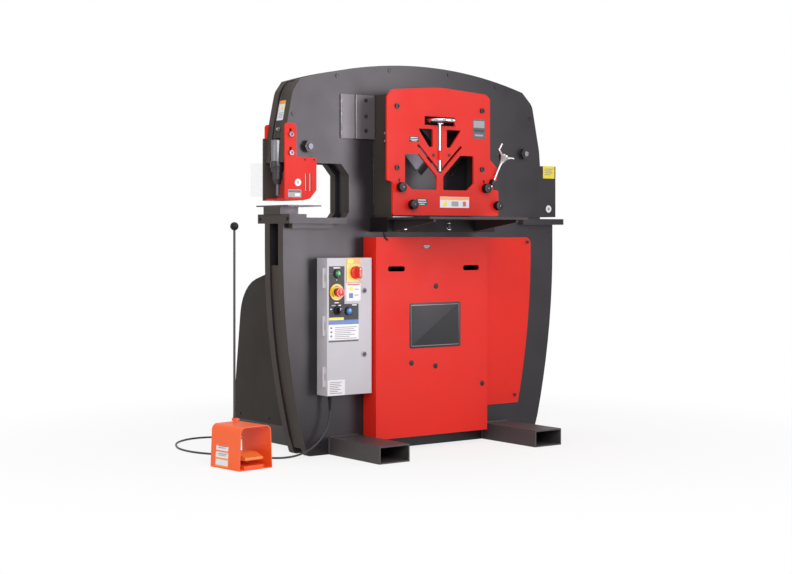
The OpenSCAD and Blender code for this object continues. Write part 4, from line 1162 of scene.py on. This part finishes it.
@dataclass
class BoxFittings:
    """Legends, lenses and hardware of the control box door.

    Attributes:
        panel: the door's front face.
        start: across and up of the start button.
        stop: across and up of the stop button.
        selector: across and up of the mode selector.
        reset: across and up of the reset button.
        isolator: across and up of the isolator.
        latch_x: the latches' middle.
        latches: their heights, upper and lower.
        button_film: middle of the dark film behind start, stop and selector.
        mode_film: middle of the dark film behind selector and reset.
        notice: middle of the white film with the blue head.
        amber: middle of the amber film over the isolator.
        card: middle of the white film under the isolator.
        rating: middle of the white film at the door's foot.
    """

    panel: float = -153.0
    start: Flat = (-556.0, 802.0)
    stop: Flat = (-561.0, 721.0)
    selector: Flat = (-556.0, 640.0)
    reset: Flat = (-497.0, 636.0)
    isolator: Flat = (-460.0, 805.0)
    latch_x: float = -414.0
    latches: Flat = (725.0, 443.0)
    button_film: Flat = (-560.0, 750.0)
    mode_film: Flat = (-522.0, 632.5)
    notice: Flat = (-523.0, 550.0)
    amber: Flat = (-470.0, 855.0)
    card: Flat = (-470.0, 719.5)
    rating: Flat = (-561.0, 302.0)

    def build(self) -> None:
        """Make the fittings."""
        self._films()
        self._bezels()
        for name, body, at, finish in (("start_lens", "start_button", self.start, GREEN_LENS),
                                       ("reset_lens", "reset_button", self.reset, BLUE_LENS)):
            lens = Bench(name, body)
            lens.lathe([(14, 0), (14, 1.0), (12.5, 2.6), (8, 4.0), (0, 4.6)],
                       front(*at, self.panel - 9.5), finish)
            lens.hand_over()
        stop = Bench("stop_dome", "stop_button")
        stop.lathe([(20.3, 0), (20.6, 6), (19.4, 10), (16.5, 13.5), (12, 15.5), (0, 16.2)],
                   front(*self.stop, self.panel - 20.5), RED_LENS)
        stop.lathe([(16.5, 0), (16.5, 4), (14.2, 7), (14.2, 20.6)], front(*self.stop, self.panel - 0.2),
                   BLACK_NYLON)
        stop.hand_over()
        self._selector()
        self._isolator()
        self._latches()

    def _films(self) -> None:
        """Make the printed films: plain fields and bars, with holes under the buttons."""
        bench = Bench("door_films", "door")
        Label(82, 168, DARK_FILM, [(0, 77, 36, 5, VINYL_WHITE), (0, 24, 4, 4, VINYL_WHITE),
                                   (0, -76, 24, 4, VINYL_WHITE)],
              [(4, 52, 17), (-1, -29, 18)]).stick(bench, front(*self.button_film, self.panel))
        Label(158, 71, DARK_FILM, [
            (-55, 30, 22, 5, VINYL_GREY), (-22, 30, 14, 5, VINYL_WHITE), (56, 30, 26, 5, VINYL_WHITE),
            (-68, 14, 9, 5, VINYL_WHITE), (-14, 14, 8, 5, VINYL_WHITE), (-40, -29, 78, 12, VINYL_YELLOW)],
              [(25, 3.5, 17)]).stick(bench, front(*self.mode_film, self.panel))
        dots = [(-66, v, 10, 8, VINYL_BLUE) for v in (14, -4, -22)]
        Label(160, 96, VINYL_WHITE, [(0, 38, 160, 20, VINYL_BLUE), *dots, (0, -44, 160, 8, BLACK_VINYL_AND_SHADE),
                                     *print_lines(12, 16, 118, 7, 8.2, VINYL_GREY)]).stick(
            bench, front(*self.notice, self.panel))
        Label(76, 30, VINYL_AMBER, [(-16, 0, 30, 18, VINYL_YELLOW)]).stick(
            bench, front(*self.amber, self.panel))
        Label(76, 77, VINYL_WHITE, [
            (-14, 14, 20, 18, VINYL_YELLOW), (-14, -16, 22, 22, VINYL_BLUE), (16, 12, 24, 4, VINYL_GREY),
            (16, -14, 24, 4, VINYL_GREY), (0, 33, 66, 6, VINYL_RED)]).stick(
            bench, front(*self.card, self.panel))
        Label(90, 68, VINYL_WHITE, print_lines(-4, 24, 66, 7, 8, VINYL_GREY)).stick(
            bench, front(*self.rating, self.panel))
        bench.hand_over()

    def _bezels(self) -> None:
        """Make the bezels round the operators and the arrows on the stop's ring, fixed to the door."""
        bench = Bench("operator_bezels", "door")
        for at in (self.start, self.selector, self.reset):
            bench.lathe([(20.5, 0), (20.5, 3.0), (19.4, 6.6), (15.2, 7.0), (15.0, 2.0)],
                        front(*at, self.panel), BLACK_NYLON)
        arrow = ((-0.32, -1.5), (-0.32, 1.5), (0.2, 1.5), (0.2, 3.5), (0.42, 0), (0.2, -3.5), (0.2, -1.5))
        for i in range(3):
            turn = math.radians(90 + 120 * i)
            shape = [(26 * math.cos(turn + a) + b * math.cos(turn),
                      26 * math.sin(turn + a) + b * math.sin(turn)) for a, b in arrow]
            bench.prism(shape, front(*self.stop, self.panel - 4), 0.3, BLACK_VINYL_AND_SHADE)
        bench.hand_over()

    def _selector(self) -> None:
        """Make the selector's wedge handle with its pointer line."""
        bench = Bench("selector_grip", "mode_selector")
        place = front(*self.selector, self.panel - 9.8)
        bench.prism(rounded_box(9.5, 27, 3.5), place, 13.5, BLACK_NYLON, 1.6)
        bench.prism([(-1.2, 2), (1.2, 2), (1.2, 12), (-1.2, 12)], place, 13.9, VINYL_WHITE)
        bench.lathe([(14.6, -6), (14.6, 0), (13.2, 1.2), (0, 1.4)], place, BLACK_NYLON)
        bench.hand_over()

    def _isolator(self) -> None:
        """Make the isolator's rotary handle."""
        bench = Bench("isolator_grip", "isolator_knob")
        place = front(*self.isolator, self.panel - 4)
        bench.lathe([(28.5, 0), (28.5, 5), (27.0, 8.5), (24, 10.6), (0, 11)], place, RED_LENS, 56)
        bench.prism(rounded_box(19, 52, 8), place, 28.6, RED_LENS, 3.0, 9.0)
        bench.prism([(-1.5, 12), (1.5, 12), (1.5, 22), (-1.5, 22)], place, 28.9, VINYL_WHITE, 0, 9.0)
        bench.hand_over()

    def _latches(self) -> None:
        """Make the slotted insert in each latch."""
        for name, z in zip(("latch_upper", "latch_lower"), self.latches):
            bench = Bench(name + "_insert", name)
            place = front(self.latch_x, z, self.panel - 5)
            bench.lathe([(11, 0), (11, 0.8), (10, 1.2), (9.4, 0.2), (0, 0.2)], place, DARK_STEEL)
            bench.prism(rounded_box(16, 6.4, 2), place.turned(35), 1.0, BLACK_NYLON)
            bench.hand_over()


@dataclass
class CoverFittings:
    """Plugs and the bare plate on the red cover.

    Attributes:
        face: the cover's front face.
        plugs: places of the four plugs.
        plate: middle of the bare plate.
        plate_size: its width and height.
    """

    face: float = -171.0
    plugs: tuple[Flat, ...] = ((-21.0, 737.0), (-162.0, 392.0), (-24.0, 373.0), (254.0, 277.0))
    plate: Flat = (-25.0, 560.0)
    plate_size: Flat = (296.0, 206.0)

    def build(self) -> None:
        """Make the fittings."""
        bench = Bench("cover_plugs")
        for at in self.plugs:
            bench.lathe([(12.5, 0), (12.5, 1.2), (10.5, 2.6), (3, 3.2), (0, 2.2)], front(*at, self.face),
                        BLACK_NYLON)
        bench.hand_over()
        plate = Bench("cover_plate")
        outline, place = rounded_box(*self.plate_size, 10), front(*self.plate, self.face)
        plate.prism(outline, place, 1.6, DARK_FILM, 0.6)
        plate.prism(inset(outline, 9), place, 2.2, VINYL_GREY, 0.4)
        plate.prism(inset(outline, 12), place, 2.6, DARK_FILM, 0.4)
        plate.hand_over()


@dataclass
class BolsterFittings:
    """Bolt heads under the shear table and on the punch bolster.

    Attributes:
        face: the shear bolster's front face.
        end: the punch bolster's left face.
        bolts: how far across the table's bolts lie.
        bolt_height: their height.
        end_bolts: how far back the bolster's bolts lie.
        end_height: their height.
    """

    face: float = -207.0
    end: float = -790.0
    bolts: tuple[float, ...] = (-223.0, 27.0, 217.0)
    bolt_height: float = 1010.0
    end_bolts: Flat = (-112.0, 112.0)
    end_height: float = 1041.0

    def build(self) -> None:
        """Make the fittings."""
        bench = Bench("bolster_bolts")
        for x in self.bolts:
            place = front(x, self.bolt_height, self.face)
            bench.prism(circle(14, 6), place, 9, BLACK_OXIDE, 1.2)
            bench.lathe([(16, 0), (16, 1.5), (0, 1.6)], place, ZINC, 32)
        for y in self.end_bolts:
            bench.prism(circle(8, 6), leftward(y, self.end_height, self.end), 5, BLACK_OXIDE, 0.8)
        bench.hand_over()


@dataclass
class EndFittings:
    """Films on the end guard.

    Attributes:
        face: its front face.
        plate: middle of the yellow film.
        disc: middle of the round film.
    """

    face: float = -75.0
    plate: Flat = (763.0, 1281.0)
    disc: Flat = (762.0, 1100.0)

    def build(self) -> None:
        """Make the films."""
        bench = Bench("end_guard_films")
        Label(76, 61, VINYL_YELLOW, print_lines(0, 16, 54, 4, 9, VINYL_GREY)).stick(
            bench, front(*self.plate, self.face))
        disc = front(*self.disc, self.face)
        bench.prism(circle(18), disc, 0.5, VINYL_WHITE)
        bench.prism(circle(7), disc, 0.7, VINYL_GREY)
        bench.hand_over()


@dataclass
class RearCoverFittings:
    """Screws in the rear cover's sides.

    Attributes:
        left: its left face.
        right: its right face.
        screws: back and up of each side's screws.
    """

    left: float = -548.0
    right: float = 493.0
    screws: tuple[Flat, ...] = (
        (150.0, 110.0), (430.0, 110.0), (690.0, 110.0), (110.0, 820.0), (330.0, 820.0))

    def build(self) -> None:
        """Make the screws."""
        bench = Bench("rear_cover_screws")
        for y, z in self.screws:
            for x, side in ((self.left, -1), (self.right, 1)):
                place = Place((x, y, z), (0, side, 0), UP)
                bench.lathe([(7.5, 0), (7.5, 1.2), (5.5, 3.4), (0, 4)], place, BLACK_OXIDE, 24)
                bench.prism(circle(2.6, 6), place, 4.1, DARK_FILM)
        bench.hand_over()


@dataclass
class FootSwitchFittings:
    """Film and ribs of the foot switch, on its own turned axes.

    Attributes:
        at: its middle on the floor.
        turn: its turn about Z, in degrees.
        width: across, at the floor.
        height: up.
        draw: how far each side leans in below the round of the roof.
        round: radius of the roof's corners.
        film: the film's middle, front to back and up.
        ribs: how many ribs the pedal has.
        rib: the first rib's place, front to back and up.
        rib_pitch: how far the next one lies behind and above it.
        slope: the pedal's rise for each step back.
    """

    at: Flat = (-1047.0, -158.0)
    turn: float = 6.0
    width: float = 172.0
    height: float = 180.0
    draw: float = 8.0
    round: float = 26.0
    film: Flat = (22.0, 54.0)
    ribs: int = 6
    rib: Flat = (-76.0, 51.0)
    rib_pitch: Flat = (9.0, 2.6)
    slope: float = 0.29

    def direction(self, x: float, y: float, z: float) -> Point:
        """Give the model direction of a direction on the switch's own axes."""
        c, s = math.cos(math.radians(self.turn)), math.sin(math.radians(self.turn))
        return (x * c - y * s, x * s + y * c, z)

    def local(self, x: float, y: float, z: float) -> Point:
        """Give the model point of a point on the switch's own axes."""
        across, back, up = self.direction(x, y, z)
        return (self.at[0] + across, self.at[1] + back, up)

    def build(self) -> None:
        """Make the fittings."""
        bench = Bench("foot_guard_film")
        lean = self.draw / (self.height - self.round)
        y, z = self.film
        side = Place(self.local(-self.width / 2 + z * lean, y, z), self.direction(0, -1, 0),
                     self.direction(lean, 0, 1))
        fields = [(0, v, 84, 24, VINYL_WHITE) for v in (32, 2, -29)]
        Label(92, 94, VINYL_AMBER, fields + print_lines(4, 38, 60, 2, 7, VINYL_GREY)
              + print_lines(4, 7, 60, 2, 7, VINYL_GREY)).stick(bench, side)
        bench.hand_over()
        pedal = Bench("pedal_ribs", "pedal")
        (back, up), (step, rise) = self.rib, self.rib_pitch
        for i in range(self.ribs):
            place = Place(self.local(0, back + step * i, up + i * rise), self.direction(1, 0, 0),
                          self.direction(0, 1, self.slope))
            pedal.prism(rounded_box(74, 3.2, 1.4, 3), place, 1.8, ORANGE_PAINT, 0.7)
        pedal.hand_over()


@dataclass
class FootCord:
    """The lead from the control box's gland to the foot switch.

    Attributes:
        radius: half its diameter.
        steps: pieces of the swept line between two points.
        relief: length of each strain relief.
        thick: its radius at the gland.
        taper: how much less it is at the far end.
        groove: depth of the grooves between its ribs.
        points: what the lead goes through, from the box's gland to the switch's.
    """

    radius: float = 4.5
    steps: int = 6
    relief: float = 62.0
    thick: float = 8.2
    taper: float = 3.2
    groove: float = 0.9
    points: tuple[Point, ...] = (
        (-572, -117, 252), (-572, -117, 215), (-575, -118, 160), (-595, -118, 110), (-632, -116, 66),
        (-678, -110, 34), (-728, -96, 14), (-785, -70, 5), (-845, -25, 5), (-890, 35, 5), (-925, 110, 5),
        (-965, 200, 5), (-1002, 285, 5), (-1015, 370, 5), (-1005, 460, 5), (-970, 550, 5), (-925, 625, 5),
        (-865, 682, 5), (-790, 718, 5), (-715, 716, 5), (-650, 680, 5), (-606, 620, 5), (-598, 545, 5),
        (-612, 460, 5), (-650, 370, 5), (-705, 280, 5), (-770, 190, 5), (-818, 125, 7), (-860, 90, 13),
        (-902, 72, 19), (-946, 58, 17), (-980, 32, 16), (-996, 0, 19), (-995, -25, 20), (-992, -49, 20))

    def build(self) -> None:
        """Make the cord and its two tapered strain reliefs."""
        path = metres(smooth_line([Vector(p) for p in self.points], self.steps))
        bench = Bench("foot_cord_sheath")
        bench.tube(path, self.radius, CORD_PVC, 16)
        cord = bench.hand_over()
        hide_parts("foot_cord")
        reliefs = [self._sleeve("box_strain_relief", path), self._sleeve("foot_strain_relief", path[::-1])]

    def _sleeve(self, name: str, path: Sequence[Vector]) -> bpy.types.Object:
        """Make a ribbed, tapered sleeve where the cord leaves its gland.

        Args:
            name: the piece's name.
            path: the cord's line, in metres, from that gland on.

        Returns:
            The sleeve.
        """
        bench = Bench(name)
        run, total = [], 0.0
        for a, b in zip(path, path[1:]):
            run.append(a)
            total += (b - a).length
            if total > self.relief * MM:
                break
        fine = [a.lerp(b, quarter / 4) for a, b in zip(run, run[1:]) for quarter in range(4)] + [run[-1]]
        radii = []
        for i in range(len(fine)):
            t = i / (len(fine) - 1)
            radii.append(self.thick - self.taper * t - (self.groove if i % 2 and t < 0.9 else 0))
        bench.tube(fine, radii, BLACK_NYLON, 20)
        return bench.hand_over(60)


@dataclass
class Studio:
    """Camera, floor, white surroundings and lights. Its lengths are metres, save the lens.

    Attributes:
        eye: the camera's place.
        heading: its turn from looking straight back, in degrees.
        lens: its focal length in millimetres, on a film 36 wide.
        half_floor: half the floor's width.
        centre: the point that the lamps face.
        lamps: name, place, width and power in watts of each square lamp.
    """

    eye: Point = (-4.3297, -5.645, 0.9666)
    heading: float = -36.7
    lens: float = 69.09
    half_floor: float = 14.0
    centre: Point = (-0.1, 0.0, 0.85)
    lamps: tuple[tuple[str, Point, float, float], ...] = (
        ("key", (-2.9, -4.8, 3.2), 3.2, 190.0), ("right_fill", (6.0, -1.2, 2.6), 2.6, 60.0),
        ("left_fill", (-6.0, 0.5, 2.4), 2.6, 40.0), ("overhead", (0.2, 1.0, 5.4), 3.4, 95.0))

    def build(self) -> None:
        """Set up the studio."""
        scene = bpy.context.scene
        scene.view_settings.view_transform = "Standard"
        self._camera(scene)
        self._white_room(scene)
        for name, at, width, power in self.lamps:
            self._softbox(name, at, Vector(self.centre), width, width, power)
        # A near card that only shows as sheen, strongest on the front plate's left half.
        card = self._softbox("sheen_card", (0.95, -2.3, 1.4), Vector((-0.7, -0.1, 1.1)), 1.1, 2.4, 82.0)
        card.data.color = (1.0, 0.93, 1.0)
        card.visible_diffuse = False
        card.visible_camera = False

    def _camera(self, scene: bpy.types.Scene) -> None:
        """Put the camera level, left of the front, aimed by shift alone.

        Args:
            scene: the scene it looks at.
        """
        data = bpy.data.cameras.new("camera")
        data.sensor_fit = "HORIZONTAL"
        data.sensor_width = 36.0
        data.lens = self.lens
        # The lens is shifted instead of tilting the camera, so that uprights stay upright.
        data.shift_y = -51 / 792
        camera = bpy.data.objects.new("camera", data)
        camera.location = self.eye
        camera.rotation_euler = (math.radians(90), 0.0, math.radians(self.heading))
        scene.collection.objects.link(camera)
        scene.camera = camera

    @staticmethod
    def _seen(tree: bpy.types.NodeTree) -> bpy.types.NodeSocket:
        """Give 1 for rays from the camera, a mirror or glass, and 0 for others.

        Args:
            tree: the tree that takes the nodes.

        Returns:
            The switch's output.
        """
        rays = add_node(tree, "LightPath")
        two = add_node(tree, "Math", {0: rays.outputs["Is Camera Ray"], 1: rays.outputs["Is Glossy Ray"]},
                       operation="MAXIMUM")
        return add_node(tree, "Math", {0: two.outputs[0], 1: rays.outputs["Is Transmission Ray"]},
                        operation="MAXIMUM").outputs[0]

    def _white_room(self, scene: bpy.types.Scene) -> None:
        """Make the pale floor and the white world.

        Args:
            scene: the scene that takes them.
        """
        world = bpy.data.worlds.new("studio")
        scene.world = world
        world.use_nodes = True
        tree = world.node_tree
        tree.nodes.clear()
        plain = add_node(tree, "Background", sockets={"Color": srgb("#f4f4f6"), "Strength": 0.36})
        white = add_node(tree, "Background", sockets={"Color": (1, 1, 1, 1), "Strength": 1.0})
        mix = add_node(tree, "MixShader", {0: self._seen(tree), 1: plain.outputs[0], 2: white.outputs[0]})
        tree.links.new(mix.outputs[0], add_node(tree, "OutputWorld").inputs["Surface"])
        data = bpy.data.meshes.new("studio_floor")
        h = self.half_floor
        data.from_pydata([(-h, -h, 0), (h, -h, 0), (h, h, 0), (-h, h, 0)], [], [(0, 1, 2, 3)])
        floor = bpy.data.objects.new("studio_floor", data)
        scene.collection.objects.link(floor)
        paper = bpy.data.materials.new("seamless paper")
        paper.use_nodes = True
        tree = paper.node_tree
        tree.nodes.clear()
        matt = add_node(tree, "BsdfDiffuse", sockets={"Color": srgb("#fbfbfc")})
        glow = add_node(tree, "Emission", sockets={"Color": (1, 1, 1, 1), "Strength": 1.0})
        seen = self._seen(tree)
        # The paper runs into the white a few metres out, so that no horizon shows.
        place = add_node(tree, "TexCoord").outputs["Object"]
        away = add_node(tree, "VectorMath", {0: place}, operation="LENGTH").outputs["Value"]
        fade = add_node(tree, "MapRange", {"Value": away}, {
            "From Min": 1.2, "From Max": 2.6, "To Min": 0.78, "To Max": 1.0}, interpolation_type="SMOOTHSTEP")
        share = add_node(tree, "Math", {0: seen, 1: fade.outputs[0]}, operation="MULTIPLY")
        mix = add_node(tree, "MixShader", {0: share.outputs[0], 1: matt.outputs[0], 2: glow.outputs[0]})
        add_node(tree, "OutputMaterial", {"Surface": mix.outputs[0]})
        data.materials.append(paper)

    @staticmethod
    def _softbox(name: str, at: Point, target: Vector, width: float, height: float,
                 power: float) -> bpy.types.Object:
        """Hang a rectangular soft light that faces a point.

        Args:
            name: its name.
            at: where it hangs, in metres.
            target: the point it faces, in metres.
            width: its width, in metres.
            height: its height, in metres.
            power: its power, in watts.

        Returns:
            The lamp.
        """
        data = bpy.data.lights.new(name, "AREA")
        data.shape = "RECTANGLE"
        data.size, data.size_y, data.energy = width, height, power
        lamp = bpy.data.objects.new(name, data)
        lamp.location = at
        lamp.rotation_euler = (target - Vector(at)).to_track_quat("-Z", "Y").to_euler()
        bpy.context.scene.collection.objects.link(lamp)
        return lamp


def main() -> None:
    """Paint the frame, add every fitting, and light it."""
    logging.basicConfig(level=logging.INFO, format="%(name)s %(message)s")
    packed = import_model()
    Studio().build()
    FootCord().build()
    Frame(packed["nodes"]).paint()
    for part in (FrameFittings(), RoundRam(), StripperFittings(), SpinnerHandle(), GuardFittings(),
                 BoxFittings(), CoverFittings(), BolsterFittings(), EndFittings(), RearCoverFittings(),
                 FootSwitchFittings()):
        part.build()
    for name, body, x, z in (("grip_left", "knob_left", -201, 1108), ("grip_right", "knob_right", 299, 1108),
                             ("grip_upper_left", "hold_down", -266, 1185),
                             ("grip_upper_right", "hold_down", 228, 1188)):
        GripKnob(name, body, x, z).build()


if __name__ == "__main__":
    main()
